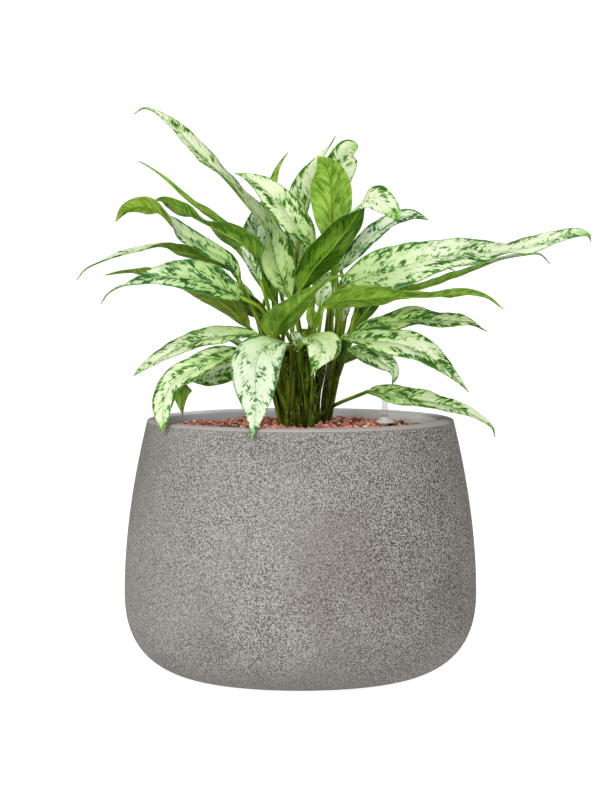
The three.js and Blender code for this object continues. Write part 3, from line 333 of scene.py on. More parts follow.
class Curve:
    """A smooth curve through points, which can be walked by even lengths."""

    DIVISIONS = 200
    NO_GAP = 1e-4

    def __init__(self, points):
        self.points = [Vector(p) for p in points]
        self.lengths = [0.0]
        last = self.points[0]
        for k in range(1, self.DIVISIONS + 1):
            here = self.point(k / self.DIVISIONS)
            self.lengths.append(self.lengths[-1] + (here - last).length)
            last = here
        self.length = self.lengths[-1]

    def point(self, t):
        p, count = self.points, len(self.points)
        place = (count - 1) * min(max(t, 0.0), 1.0)
        i = min(int(place), count - 2)
        share = place - i
        p1, p2 = p[i], p[i + 1]
        p0 = p[i - 1] if i > 0 else p[0] * 2 - p[1]
        p3 = p[i + 2] if i + 2 < count else p[-1] * 2 - p[-2]
        gaps = [(a - b).length_squared ** 0.25 for a, b in ((p0, p1), (p1, p2), (p2, p3))]
        step1 = gaps[1] if gaps[1] >= self.NO_GAP else 1.0
        step0, step2 = (gap if gap >= self.NO_GAP else step1 for gap in (gaps[0], gaps[2]))
        in1 = ((p1 - p0) / step0 - (p2 - p0) / (step0 + step1) + (p2 - p1) / step1) * step1
        in2 = ((p2 - p1) / step1 - (p3 - p1) / (step1 + step2) + (p3 - p2) / step2) * step1
        a = (p2 - p1) * 3 - in1 * 2 - in2
        b = (p1 - p2) * 2 + in1 + in2
        return p1 + in1 * share + a * share**2 + b * share**3

    def share(self, part):
        """The curve's own parameter at a share of its length."""
        target = min(max(part, 0.0), 1.0) * self.length
        i = min(bisect_right(self.lengths, target) - 1, self.DIVISIONS - 1)
        gap = self.lengths[i + 1] - self.lengths[i]
        return (i + (target - self.lengths[i]) / gap if gap > 0 else i) / self.DIVISIONS

    def at(self, part):
        return self.point(self.share(part))


def show(name, mesh):
    thing = bpy.data.objects.new(name, mesh)
    bpy.context.scene.collection.objects.link(thing)
    return thing


def make_piece(name, points, faces, materials, sharp, attributes=None, indices=None):
    """A mesh object that rides on the root. Points are in millimetres."""
    mesh = bpy.data.meshes.new(name)
    mesh.from_pydata([(x * MM, y * MM, z * MM) for x, y, z in points], [], faces)
    for material in materials:
        mesh.materials.append(material)
    if indices:
        mesh.polygons.foreach_set("material_index", indices)
    mesh.polygons.foreach_set("use_smooth", [True] * len(mesh.polygons))
    for key, values in (attributes or {}).items():
        layer = mesh.attributes.new(key, "FLOAT_VECTOR", "POINT")
        layer.data.foreach_set("vector", [part for value in values for part in value])
    if sharp:
        mesh.set_sharp_from_angle(angle=math.radians(sharp))
    mesh.update()
    piece = show(name, mesh)
    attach(piece, "root")
    return piece


def bands(rings, sides):
    """Faces between pairs of rings of points. A ring may be a single point."""
    faces = []
    for low, high in rings:
        for k in range(sides):
            n = (k + 1) % sides
            loop = (low[k % len(low)], low[n % len(low)], high[n % len(high)], high[k % len(high)])
            faces.append(tuple(dict.fromkeys(loop)))
    return faces


def turned(outline, sides, centre=(0, 0), closed=False):
    """Points and faces of a shape turned round an upright line. A radius of 0 is a single point."""
    points, rings = [], []
    for radius, z in outline:
        ring = []
        for k in range(sides if radius > 0 else 1):
            turn = 2 * math.pi * k / sides
            ring.append(len(points))
            x, y = centre[0] + radius * math.cos(turn), centre[1] + radius * math.sin(turn)
            points.append((x, y, z))
        rings.append(ring)
    return points, bands(zip(rings, rings[1:] + rings[:1] if closed else rings[1:]), sides)


def pulled(start, pull_a, pull_b, end, count):
    """Points of a curve from start to end that two pulls bend. The start is left out."""
    lines = list(zip(start, pull_a, pull_b, end))
    return [
        tuple(u**3 * a + 3 * u * u * t * b + 3 * u * t * t * c + t**3 * d for a, b, c, d in lines)
        for t, u in ((k / count, 1 - k / count) for k in range(1, count + 1))
    ]


# Camera, light and stage

CAMERA_PLACE = (-0.5 * MM, -6, 0.726)
CAMERA_TILT, LENS, SENSOR = 90 - 3.853, 237.24, 36
LIGHTS = {  # place, target, width, height and power
    "key": ((-1.55, -2.6, 1.95), (0, 0, 0.3), 1.1, 1.1, 64),
    "low": ((-1.3, -3.2, 0.75), (0, 0, 0.3), 1, 0.5, 19),
    "top": ((-0.3, -0.5, 2.6), (0, 0, 0.4), 1.2, 1, 20),
    "fill": ((0.9, -3.2, 0.9), (0, 0, 0.35), 1.6, 1.6, 43),
}
SKY_STRENGTH = 0.42
FLOOR_LEVEL = -0.0002
FLOOR_COLOUR, FLOOR_GLOW = (159.7, 159.7, 159.7), 0.92
FLOOR_NEAR, FLOOR_FAR = -1.6, 9.3
NEAR_HALF, FAR_HALF = 1.5, 3.5
RISE_RADIUS, RISE_STEPS, WALL_TOP = 1.5, 12, 8.3


def make_camera():
    data = bpy.data.cameras.new("camera")
    data.sensor_width = SENSOR
    data.lens = LENS
    data.clip_start, data.clip_end = 0.1, 100
    camera = show("camera", data)
    camera.location = CAMERA_PLACE
    camera.rotation_euler = (math.radians(CAMERA_TILT), 0, 0)
    bpy.context.scene.camera = camera


def make_lights():
    for name, (place, target, width, height, power) in LIGHTS.items():
        data = bpy.data.lights.new(name, "AREA")
        data.shape = "RECTANGLE"
        data.size, data.size_y, data.energy = width, height, power
        light = show(name, data)
        light.location = place
        ahead = Vector(target) - light.location
        light.rotation_euler = ahead.to_track_quat("-Z", "Y").to_euler()


def make_stage():
    """A white floor that rises far behind the object, and behind the camera of a back view."""
    start("stage_white")
    white = skin(FLOOR_COLOUR, 0.9, Emission_Color=(255, 255, 255), Emission_Strength=FLOOR_GLOW)
    profile = [(NEAR_HALF, FLOOR_NEAR, FLOOR_LEVEL), (FAR_HALF, FLOOR_FAR, FLOOR_LEVEL)]
    for k in range(1, RISE_STEPS + 1):
        turn = math.pi / 2 * k / RISE_STEPS
        y = FLOOR_FAR + RISE_RADIUS * math.sin(turn)
        profile.append((FAR_HALF, y, RISE_RADIUS * (1 - math.cos(turn)) + FLOOR_LEVEL))
    profile.append((FAR_HALF, FLOOR_FAR + RISE_RADIUS, WALL_TOP))
    points = [(x, y, z) for half, y, z in profile for x in (-half, half)]
    starts = range(0, len(points) - 2, 2)
    mesh = bpy.data.meshes.new("stage")
    mesh.from_pydata(points, [], [(k, k + 1, k + 3, k + 2) for k in starts])
    mesh.materials.append(finish(white))
    mesh.polygons.foreach_set("use_smooth", [True] * len(starts))
    show("stage", mesh)


def make_sky():
    """An even white sky, and colours shown as they are."""
    world = bpy.data.worlds.new("sky")
    world.use_nodes = True
    back = world.node_tree.nodes["Background"]
    back.inputs["Color"].default_value = (1, 1, 1, 1)
    back.inputs["Strength"].default_value = SKY_STRENGTH
    bpy.context.scene.world = world
    view = bpy.context.scene.view_settings
    view.view_transform, view.look = "Standard", "None"
    view.exposure, view.gamma = 0, 1


# Planter

FOOT, BELLY, EDGE = (96, 0), (201, 102), (175, 298.5)
LOWER_PULLS = ((175, 7.5), (201, 46))
UPPER_PULLS = ((201, 190), (182, 267.5))
LIP_MIDDLE, LIP_HALF_WIDTH, LIP_RISE = 166, 9, 3
CAVITY = [(157, 298.5), (159, 269), (165, 200), (171, 120), (155, 60), (115, 24), (85, 16)]
PLANTER_SIDES = 192


def stone_material():
    """Cast stone: worm-like pale relief over taupe, broad soft mottles, a smooth pale lip, with painted
    shade and painted light.
    """
    start("planter_stone")
    place = position()
    x, y, z = split(place)

    worms = clouds(place, 690, 1.5, 0.5, 0.7)
    grit = clouds(place, 1900, 1)
    mottle = clouds(place, 9, 3, 0.55)
    patch = clouds(place, 28)
    cloud = clouds(place, 5.5, 2, 0.5, 0.4)
    height = plus(times(worms, 0.85), times(grit, 0.15))
    pale = step(height, 0.45, 0.56)

    # Painted shade: on the right side (x above 0) the valleys turn darker and browner, the pale mottles
    # fainter and the brown wash stronger; the ridges there turn a little paler.
    right = step(x, 0, 0.17)
    valley = mix(mottle, (66, 59, 51), (92, 85, 78))
    valley = over(valley, right, 0.8, (40, 31, 22))
    ridge = mix(mottle, (142, 140, 135), (160, 159, 156))
    ridge = over(ridge, right, 0.5, (176, 172, 166))
    stone = mix(pale, valley, ridge)
    soft = step(plus(mottle, times(patch, 0.4)), 0.5, 0.95)
    soft = times(soft, plus(0.35, times(right, -0.25)))
    stone = mix(soft, stone, (130, 127, 121))
    # The brown wash: real stain in clouds, the painted shade of the right side, and more brown towards the
    # foot.
    stain = step(cloud, 0.46, 0.66)
    foot = step(z, 0.07, 0)
    brown = most(times(stain, 0.3), times(right, 0.12))
    brown = most(brown, times(foot, 0.22))
    stone = mix(brown, stone, (70, 60, 49))

    lip = step(z, 0.2975, 0.2983)
    # Painted shadow: a thin dark line just under the lip.
    line = times(step(z, 0.2955, 0.2970), maths("SUBTRACT", 1, lip))
    lip_tone = mix(patch, (138, 133, 129), (151, 146, 144))
    # Painted light: the far half of the lip (y above 0) turns near white.
    lip_tone = mix(step(y, 0, 0.11), lip_tone, (214, 211, 214))
    colour = over(stone, line, 0.5, (112, 106, 98))
    colour = mix(lip, colour, lip_tone)

    inner = attribute("inner")[0]
    # Painted light: the inner wall turns paler towards the right, where the key light falls on it.
    inner_wall_with_painted_light = mix(step(x, -0.05, 0.13), (200, 202, 210), (250, 250, 252))
    colour = mix(inner, colour, inner_wall_with_painted_light)

    rough = maths("SUBTRACT", 1, most(lip, inner))
    fine = plus(times(height, rough), times(grit, 0.06))
    dull = step(pale, 0, 1, 0.95, 0.82)
    return finish(skin(colour, dull, 0.25, bump(fine, 0.55, 0.0011)))


def make_planter():
    outline = [(0, 0), (60, 0), (92, 0), FOOT]
    outline += pulled(FOOT, *LOWER_PULLS, BELLY, 30)
    outline += pulled(BELLY, *UPPER_PULLS, EDGE, 40)
    for k in range(1, 13):
        turn = math.pi * k / 12
        x, z = LIP_HALF_WIDTH * math.cos(turn), LIP_RISE * math.sin(turn)
        outline.append((LIP_MIDDLE + x, EDGE[1] + z))
    lip_end = len(outline) - 1
    inner = Curve([(r, 0, z) for r, z in CAVITY])
    outline += [(p.x, p.z) for p in (inner.point(k / 32) for k in range(1, 33))]
    outline += [(40, 16), (0, 16)]
    points, faces = turned(outline, PLANTER_SIDES)
    first = sum(PLANTER_SIDES if radius > 0 else 1 for radius, z in outline[:lip_end])
    zones = [(1.0 if k >= first else 0, 0, 0) for k in range(len(points))]
    stone = [stone_material()]
    piece = make_piece("planter_fine", points, faces, stone, 40, {"inner": zones})
    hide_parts("planter")


# Granules

BED_RADIUS, BED_HEIGHT = 157.4, 286.6
EDGE_DROP = 4.0
PEBBLE_STEP, PEBBLE_SEED = 6.4, 41
ROW_STEP = PEBBLE_STEP * 0.87
CLAY_TONES = [(0, (120, 60, 46)), (0.3, (190, 108, 90)), (0.65, (234, 154, 132)), (1, (252, 206, 186))]
PEBBLE_SIZES, PEBBLE_RISES, PEBBLE_WANDER = (2.3, 3.3), (-0.2, 6.2), (-1.4, 1.4)


def clay_material():
    """Fired clay: brick red to orange by the granule, pitted, with painted shade on each granule's lower
    half, on the lowest granules and in the pits.
    """
    start("granule_clay")
    place = position()
    tone, upward, _ = attribute("tone")
    grain = clouds(place, 700, 3, 0.6)
    pits = cell_noise(place, 900)["Distance"]
    base = ramp(tone, CLAY_TONES)
    # Painted shade: the lower half of each granule, by its height in the ball, and the lowest granules turn
    # near black.
    depth = step(split(place)[2], 0.2874, 0.2934)
    top = step(upward, -0.3, 0.4)
    base = mix(times(depth, top), (40, 20, 17), base)
    dark = mix(step(grain, 0.3, 0.6, 0.6, 1), (136, 78, 64), base)
    # Painted shade in the pits: they turn dark brown.
    colour = mix(step(pits, 0.05, 0.3, 0.4, 0), dark, (92, 50, 42))
    normal = bump(plus(grain, times(pits, 0.6)), 0.35, 0.0006)
    return finish(skin(colour, 0.85, 0.3, normal))


def bed_material():
    """The shaded depth between the granules."""
    start("granule_bed")
    place = position()
    cells = cell_noise(place, 210)["Distance"]
    grain = clouds(place, 500, 3, 0.6)
    colour = mix(step(cells, 0.1, 0.6), (96, 54, 46), (30, 17, 15))
    colour = over(colour, grain, 0.4, (84, 42, 34))
    return finish(skin(colour, 0.95, normal=bump(cells, 0.7, 0.002)))


def edge_drop(x):
    return EDGE_DROP * (x / BED_RADIUS) ** 2


def make_bed():
    """A dark filling in the planter with an uneven top."""
    outline = [(0, 17), (84, 17)]
    inner = Curve([(r - 1.2, 0, z) for r, z in reversed(CAVITY[1:])])
    outline += [(p.x, p.z) for p in (inner.point(k / 20) for k in range(1, 20))]
    outline += [(BED_RADIUS, 280), (BED_RADIUS - 0.6, BED_HEIGHT - EDGE_DROP)]
    outline += [(BED_RADIUS - 5 - 8 * k, BED_HEIGHT) for k in range(18)] + [(0, BED_HEIGHT)]
    points, faces = turned(outline, 96)
    uneven = []
    for x, y, z in points:
        if z >= BED_HEIGHT and math.hypot(x, y) < BED_RADIUS - 4:
            z += 1.6 * spot(x * 0.09, y * 0.09, 3)
            z -= edge_drop(x)
        uneven.append((x, y, z))
    bed = make_piece("granule_bed", uneven, faces, [bed_material()], 60)
    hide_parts("granules")


def pebble_spots(stems, dice):
    """Where granules lie, clear of the planter's wall and of the stems."""
    spots = []
    for row in range(int(2 * BED_RADIUS / ROW_STEP) + 1):
        for column in range(int(2 * BED_RADIUS / PEBBLE_STEP) + 1):
            x = -BED_RADIUS + PEBBLE_STEP * (column + 0.5 * (row % 2))
            x += dice.uniform(*PEBBLE_WANDER)
            y = -BED_RADIUS + ROW_STEP * row + dice.uniform(*PEBBLE_WANDER)
            size = dice.uniform(*PEBBLE_SIZES)
            rise = dice.uniform(*PEBBLE_RISES) + 1.4 * spot(x * 0.03, y * 0.03, 8)
            tone = min(max(dice.gauss(0.56, 0.27), 0), 1)
            if math.hypot(x, y) > BED_RADIUS - size - 0.4:
                continue
            if any(math.hypot(x - sx, y - sy) < reach + size * 0.5 for sx, sy, reach in stems):
                continue
            spots.append((x, y, size, BED_HEIGHT + rise - edge_drop(x), tone))
    return spots


def ball_shape():
    """The points and triangles of a round ball of 80 faces."""
    ball = bmesh.new()
    bmesh.ops.create_icosphere(ball, subdivisions=2, radius=1)
    points = [tuple(v.co) for v in ball.verts]
    faces = [tuple(v.index for v in face.verts) for face in ball.faces]
    ball.free()
    return points, faces


def make_pebbles(stems):
    """Small uneven granules on the filling, as a front and a back piece."""
    ball_points, ball_faces = ball_shape()
    dice = random.Random(PEBBLE_SEED)
    spots = pebble_spots(stems, dice)
    clay = [clay_material()]
    for name, behind in (("pebbles_front", False), ("pebbles_back", True)):
        points, faces, tones = [], [], []
        for x, y, size, z, tone in spots:
            if (y >= 0) != behind:
                continue
            first = len(points)
            turn = dice.uniform(0, math.pi)
            cos, sin = math.cos(turn), math.sin(turn)
            stretch = [dice.uniform(0.88, 1.12) for _ in range(3)]
            lump = dice.uniform(0, 50)
            for bx, by, bz in ball_points:
                swell = 1 + 0.15 * noise.noise(Vector((bx + lump, by, bz)) * 1.4)
                px, py, pz = (b * s * swell * size for b, s in zip((bx, by, bz), stretch))
                points.append((x + px * cos - py * sin, y + px * sin + py * cos, z + pz))
                # The second value, the point's height in its ball, sets the painted shade on the granule's
                # lower half.
                tones.append((tone, bz, 0))
            faces += [tuple(first + k for k in face) for face in ball_faces]
        piece = make_piece(name, points, faces, clay, None, {"tone": tones})


# Water gauge

GAUGE = (97, 44)
GAUGE_TOP = 328
TUBE_RADIUS, TUBE_WALL, TUBE_DEPTH, TUBE_FLOOR = 4, 0.8, 150, 2
CAP_RADIUS, CAP_HEIGHT = 5.2, 4
FLOAT_RADIUS, FLOAT_TOP = 2.4, 302.5
COLLAR_FOOT = 292.5
COLLAR = [  # radius and height over its foot
    (4.3, 0), (10.4, 0), (11, 0.4), (11, 1.2), (10.6, 1.7), (9.4, 2.4),
    (7.9, 3.2), (6.4, 4.4), (5.7, 5.4), (5.6, 6.8), (5.2, 7.2), (4.3, 7.2),
]


def plastic_material(name, grain, tints, roughs, specular=0.5, alpha=1):
    """Moulded plastic, a little cloudy."""
    start(name)
    cloud = clouds(position(), grain)
    rough = step(cloud, 0.2, 0.8, *roughs)
    return finish(skin(mix(cloud, *tints), rough, specular, Alpha=alpha))


def make_gauge():
    """A clear tube with a flared collar, a cap and a small red float."""
    bright, roughs = (246, 247, 250), (0.12, 0.22)
    clear = plastic_material("gauge_clear", 260, ((222, 224, 230), bright), roughs, 0.6, 0.2)
    cloudy = plastic_material("gauge_cloudy", 260, ((236, 237, 243), bright), roughs, 0.6, 0.85)
    red = plastic_material("gauge_float_red", 500, ((186, 20, 8), (214, 46, 20)), (0.35, 0.5))
    base, top = GAUGE_TOP - TUBE_DEPTH, GAUGE_TOP
    inner, under = TUBE_RADIUS - TUBE_WALL, top - CAP_HEIGHT
    tube = [
        (0, base), (TUBE_RADIUS - 0.5, base), (TUBE_RADIUS, base + 0.5),
        (TUBE_RADIUS, under), (inner, under),
        (inner, base + TUBE_FLOOR + 0.5), (inner - 0.5, base + TUBE_FLOOR), (0, base + TUBE_FLOOR),
    ]
    cap = [(0, under + 0.02), (CAP_RADIUS - 0.5, under + 0.02), (CAP_RADIUS, under + 0.5)]
    cap += [(CAP_RADIUS, top - 1.2), (CAP_RADIUS - 0.4, top - 0.4), (CAP_RADIUS - 1.2, top), (0, top)]
    collar = [(radius, COLLAR_FOOT + rise) for radius, rise in COLLAR]
    bob = [(0, base + 4), (FLOAT_RADIUS, base + 4.6), (FLOAT_RADIUS, FLOAT_TOP - 0.6)]
    bob += [(FLOAT_RADIUS - 0.6, FLOAT_TOP), (0, FLOAT_TOP)]
    made = [
        ("gauge_tube", tube, clear, "gauge_clear", False),
        ("gauge_cap", cap, cloudy, "gauge_clear", False),
        ("gauge_collar", collar, cloudy, "gauge_clear", True),
        ("gauge_float", bob, red, "gauge_float", False),
    ]
    for node, outline, material, slot, ring in made:
        points, faces = turned(outline, 48, GAUGE, closed=ring)
        piece = make_piece(node + "_fine", points, faces, [material], 40)
        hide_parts(node)


# Plant materials

VEIN_SLANT = -1.15


def leaf_parts():
    """Where a point is on its leaf: lengths in millimetres, shares and the leaf's own tones."""
    part = SimpleNamespace()
    part.along, part.across, part.seed = attribute("leafco")
    part.share, part.edge, part.cover = attribute("leafshare")
    part.cool, part.dark, part.olive = attribute("leaftone")
    part.away = maths("ABSOLUTE", part.across)
    part.vein = maths("MULTIPLY_ADD", part.away, VEIN_SLANT, part.along)
    return part


def vein_lines(part, spacing, low, high):
    """Side veins as thin soft lines, a little uneven."""
    drift = stretched(part.vein, 50 / 3, part.across, 20, part.seed)
    place = plus(times(part.vein, 1 / spacing), times(drift, 1.6))
    tent = maths("ABSOLUTE", plus(maths("FRACT", place), -0.5))
    return step(tent, low, high, 1, 0)


def green_field(part, seeded, cloud):
    """How green a point of the upper side is: jagged flecks, with more green at margin and tip."""
    streak = stretched(part.vein, 4.4, part.across, 5.2, seeded, 1, 0.5, 0.6)
    jag = stretched(part.vein, 2.2, part.across, 2.8, seeded, 1, 0.5, 0.4)
    shift = times(plus(jag, -0.5), 1.6)
    down = plus(times(part.vein, 1 / 2.3), shift)
    sideways = plus(times(part.across, 1 / 2.8), shift)
    block = split(cell_noise(join(down, sideways, seeded))["Color"])[0]
    side = plus(maths("FRACT", times(part.seed, 0.61)), -0.5)
    upper = step(times(part.across, side), -2, 2, 0.11, 0.2)
    reach = plus(part.edge, times(plus(cloud, -0.5), 0.5))
    field = plus(times(streak, 0.6), times(block, 0.22))
    for more in (
        times(jag, 0.18),
        times(step(reach, 0.7, 0.98), upper),
        step(part.share, 0.86, 1, 0, 0.16),
        step(part.share, 0.2, 0, 0, 0.08),
        step(part.away, 3.5, 0.6, 0, 0.02),
        times(plus(part.cover, -0.45), 0.3),
        times(plus(cloud, -0.52), 0.8),
    ):
        field = plus(field, more)
    return field, jag


def silver_tone(part, haze, wash, lines):
    """The pale ground of the upper side, greener towards its foot, its tip and the flecks."""
    warm = mix(haze, (202, 214, 162), (238, 240, 220))
    cold = mix(haze, (188, 206, 168), (232, 238, 224))
    silver = mix(part.cool, warm, cold)
    olive = mix(part.cool, (184, 216, 112), (146, 182, 92))
    low_half = step(part.share, 0.7, 0.3, 0.2, 0.95)
    silver = mix(times(part.olive, low_half), silver, olive)
    silver = mix(step(part.share, 0.45, 0.08, 0, 0.6), silver, (166, 204, 100))
    wash_tone = mix(part.cool, (146, 192, 98), (136, 180, 112))
    silver = over(silver, wash, 0.6, wash_tone)
    silver = over(silver, lines, 0.12, (140, 186, 100))
    return mix(step(part.share, 0.88, 1), silver, (142, 190, 92))


def face_material():
    """Upper side: silver with jagged green flecks along the side veins and a green margin."""
    start("leaf_face")
    part = leaf_parts()
    seeded = times(part.seed, 7.3)
    cloud = stretched(part.along, 21, part.across, 9, seeded, 1)
    haze = stretched(part.along, 16, part.across, 9, seeded)
    lines = vein_lines(part, 5, 0.02, 0.16)
    field, jag = green_field(part, seeded, cloud)

    silver = silver_tone(part, haze, step(field, 0.44, 0.58), lines)
    light = mix(part.cool, (110, 160, 58), (88, 138, 72))
    night = mix(part.cool, (50, 96, 18), (32, 76, 42))
    fleck = mix(step(field, 0.60, 0.68), light, night)
    fleck = mix(step(part.share, 0.93, 0.99), fleck, (84, 140, 44))
    colour = mix(step(field, 0.575, 0.588), silver, fleck)
    rim = step(plus(part.edge, times(jag, 0.12)), 0.97, 1.02)
    colour = over(colour, rim, 0.75, light)
    thin = step(part.share, 0, 0.8, 0.75, 0.4)
    rib = step(maths("DIVIDE", part.away, thin), 1.6, 0.9)
    colour = over(colour, rib, 0.4, (170, 206, 138))
    groove = step(part.away, 0.55, 0.25)
    colour = over(colour, groove, 0.35, (84, 130, 60))

    height = plus(times(lines, -0.5), times(haze, 0.5))
    rough = step(haze, 0.2, 0.8, 0.36, 0.5)
    front = skin(colour, rough, 0.2, bump(height, 0.3, 0.0008))
    return finish(leaky(front, mix(0.35, colour, (156, 194, 76)), 0.22))


def back_material():
    """Underside: plain green, bright or dark by the leaf, with paler side veins, mottling, darker broad
    patches, a painted sheen in broad pale streaks and a painted highlight along the rim.
    """
    start("leaf_back")
    part = leaf_parts()
    seeded = times(part.seed, 5.1)
    mottle = stretched(part.vein, 7, part.across, 9, seeded, 3, 0.55, 0.6)
    broad = stretched(part.along, 30, part.across, 18, seeded)
    lines = vein_lines(part, 6, 0.03, 0.2)
    patchy = step(mottle, 0.3, 0.7)
    bright = mix(patchy, (108, 160, 30), (184, 218, 104))
    dark = mix(patchy, (12, 50, 0), (80, 128, 10))
    olive = mix(patchy, (84, 104, 20), (146, 154, 60))
    colour = over(mix(part.dark, bright, dark), part.olive, 0.8, olive)
    # Painted sheen: broad pale streaks along the blade.
    colour = mix(step(broad, 0.52, 0.68, 0, 0.3), colour, (156, 200, 76))
    colour = mix(step(broad, 0.5, 0.32, 0, 0.4), colour, (30, 76, 0))
    colour = over(colour, lines, 0.14, (170, 206, 90))
    # Painted highlight: a pale band along the rim.
    colour = over(colour, step(part.edge, 0.95, 1), 0.35, (170, 202, 120))
    normal = bump(plus(times(lines, 0.4), mottle), 0.3, 0.0008)
    front = skin(colour, step(mottle, 0.2, 0.8, 0.4, 0.52), 0.06, normal)
    return finish(leaky(front, mix(0.4, colour, (150, 205, 50)), 0.25))


def stalk_material():
    """Leaf stalks and midribs: olive to light green with fine lengthwise streaks, dark at each stalk's
    sheathed foot, with painted shade low down and near the plant's middle.
    """
    start("leaf_stalk")
    part = leaf_parts()
    streak = stretched(part.along, 26, part.across, 1 / 0.7, times(part.seed, 3.7))
    speck = stretched(part.along, 4, part.across, 1, part.seed, 2, 0.6)
    lengthwise = step(streak, 0.42, 0.66)
    young = mix(lengthwise, (70, 110, 10), (146, 178, 58))
    old = mix(lengthwise, (6, 15, 0), (106, 128, 28))
    # Painted shade: stalks and midribs low down and near the plant's middle keep the dark colour named old,
    # among the canes. Higher or farther out they turn light green. The sheathed foot of each stalk is dark
    # everywhere.
    x, y, z = split(position())
    spread = plus(times(x, x), times(y, y))
    outer = most(step(z, 0.33, 0.44), step(spread, 0.0009, 0.0036))
    colour = mix(times(step(part.share, -0.9, -0.25), outer), old, young)
    tint = maths("FRACT", times(part.seed, 0.37))
    colour = mix(step(tint, 0.55, 1, 0, 0.4), colour, (112, 106, 36))
    colour = mix(step(speck, 0.62, 0.75, 0, 0.5), colour, (40, 62, 14))
    rough = step(speck, 0.3, 0.7, 0.38, 0.52)
    return finish(skin(colour, rough, 0.05, bump(streak, 0.35, 0.0006)))


def cane_material():
    """Canes: dark green with ring scars, lighter streaks and a brown foot."""
    start("cane_green")
    place = position()
    x, y, z = split(place)
    scar = attribute("caneco")[2]
    spread = join(times(x, 260), times(y, 260), times(z, 30))
    streak = clouds(spread, 1, 3, 0.6)
    patch = clouds(place, 260, 3, 0.6)
    broad = clouds(place, 45)
    colour = mix(step(streak, 0.4, 0.62), (2, 8, 0), (92, 112, 12))
    speck = times(step(patch, 0.5, 0.64), step(broad, 0.35, 0.6, 0.2, 0.9))
    colour = mix(speck, colour, (150, 170, 68))
    colour = over(colour, scar, 0.22, (90, 94, 36))
    colour = mix(step(z, 0.318, 0.286, 0, 0.6), colour, (48, 42, 12))
    height = plus(times(streak, 0.6), times(patch, 0.5))
    rough = step(patch, 0.3, 0.7, 0.45, 0.7)
    return finish(skin(colour, rough, 0.08, bump(height, 0.5, 0.001)))


# Leaves

FACE, BACK, STALK = 0, 1, 2
LEAF_SEED = 500
BLADE_ROW, STALK_ROW, STALK_SIDES = 3.6, 5.5, 14
ACROSS = [-1, -0.94, -0.82, -0.66, -0.48, -0.3, -0.14, -0.05]
ACROSS += [0] + [-v for v in reversed(ACROSS)]
RIPPLES = [(0.05, 3, 0, 2.2), (0.14, 5, 9, 0.7)]  # rate along and across, shift and height
MIDDLE_THICKNESS, RIM_THICKNESS = 0.95, 0.5
STALK_THICKNESS, SHEATH_THICKNESS = 2.35, 4.0
STALK_GROOVE, SHEATH_GROOVE = 0.28, 0.1
SHEATH_GAP, SHEATH_REACH = 4, (24, 46)
FRAME_REACH, RIB_REACH, LEAST_HALF = 5, 0.985, 0.7
CANE_THINNING = 0.22


def half_width(leaf, share):
    grow = math.sin(math.pi / 2 * min(share / leaf.belly, 1)) ** 0.6
    fall = math.cos(math.pi / 2 * max((share - leaf.belly) / (1 - leaf.belly), 0))
    return max(leaf.half * grow * max(fall, 0) ** leaf.taper, LEAST_HALF)


def stalk_points(leaf, canes, dice):
    """The stalk's points. A foot on a cane starts as a sheath that runs down the cane."""
    old = Curve(triples(leaf.stalk))
    start = old.point(0)
    gaps = [
        ((line.at(k / 60) - start).length, radius, line, k / 60)
        for radius, line in canes for k in range(61)
    ]
    gap, radius, line, share = min(gaps, key=lambda found: found[0])
    if gap > SHEATH_GAP:
        return old.points
    out = old.at(0.4) - start
    out.z = 0
    if out.length < 1e-3:
        out = Vector((0, -1, 0))
    out.normalize()
    reach = dice.uniform(*SHEATH_REACH) / line.length
    low = line.at(max(share - reach, 0.12))
    middle = line.at(max(share - reach * 0.45, 0.14))
    thick = radius * (1 - CANE_THINNING * share)
    ends = [old.at(0.34) + out * 0.4, old.at(0.62), old.at(0.82), old.point(1)]
    return [low + out * (thick - 3.2), middle + out * (thick - 1.6)] + ends


class Spine:
    """The middle line of a leaf, from the foot of its stalk to the tip, with its frames."""

    def __init__(self, leaf, canes, dice):
        self.rib = Curve(triples(leaf.midrib))
        self.facing = Curve(triples(leaf.facing, 100))
        self.stalk = Curve(stalk_points(leaf, canes, dice))
        self.length = self.stalk.length + self.rib.length

    def centre(self, length):
        if length < self.stalk.length:
            return self.stalk.at(length / self.stalk.length)
        return self.rib.at((length - self.stalk.length) / self.rib.length)

    def frame(self, length):
        """The place at a length, with the directions up from the blade and to its side."""
        ahead = self.centre(min(length + FRAME_REACH, self.length))
        behind = self.centre(max(length - FRAME_REACH, 0))
        tangent = (ahead - behind).normalized()
        share = max(length - self.stalk.length, 0) / self.rib.length
        facing = self.facing.point(self.rib.share(share))
        up = (facing - tangent * facing.dot(tangent)).normalized()
        return self.centre(length), up, tangent.cross(up)


class LeafMesh:
    """The points and faces of a leaf, and what its materials know of each point."""

    def __init__(self, leaf, seed):
        self.leaf, self.seed = leaf, seed
        self.points, self.faces, self.kinds = [], [], []
        self.known = {"leafco": [], "leafshare": [], "leaftone": []}

    def add(self, point, along, across, share, edge):
        self.points.append(tuple(point))
        self.known["leafco"].append((along, across, self.seed))
        self.known["leafshare"].append((share, edge, self.leaf.cover))
        self.known["leaftone"].append((self.leaf.cool, self.leaf.dark, self.leaf.olive))
        return len(self.points) - 1

    def close(self, kind, *faces):
        self.faces += faces
        self.kinds += [kind] * len(faces)


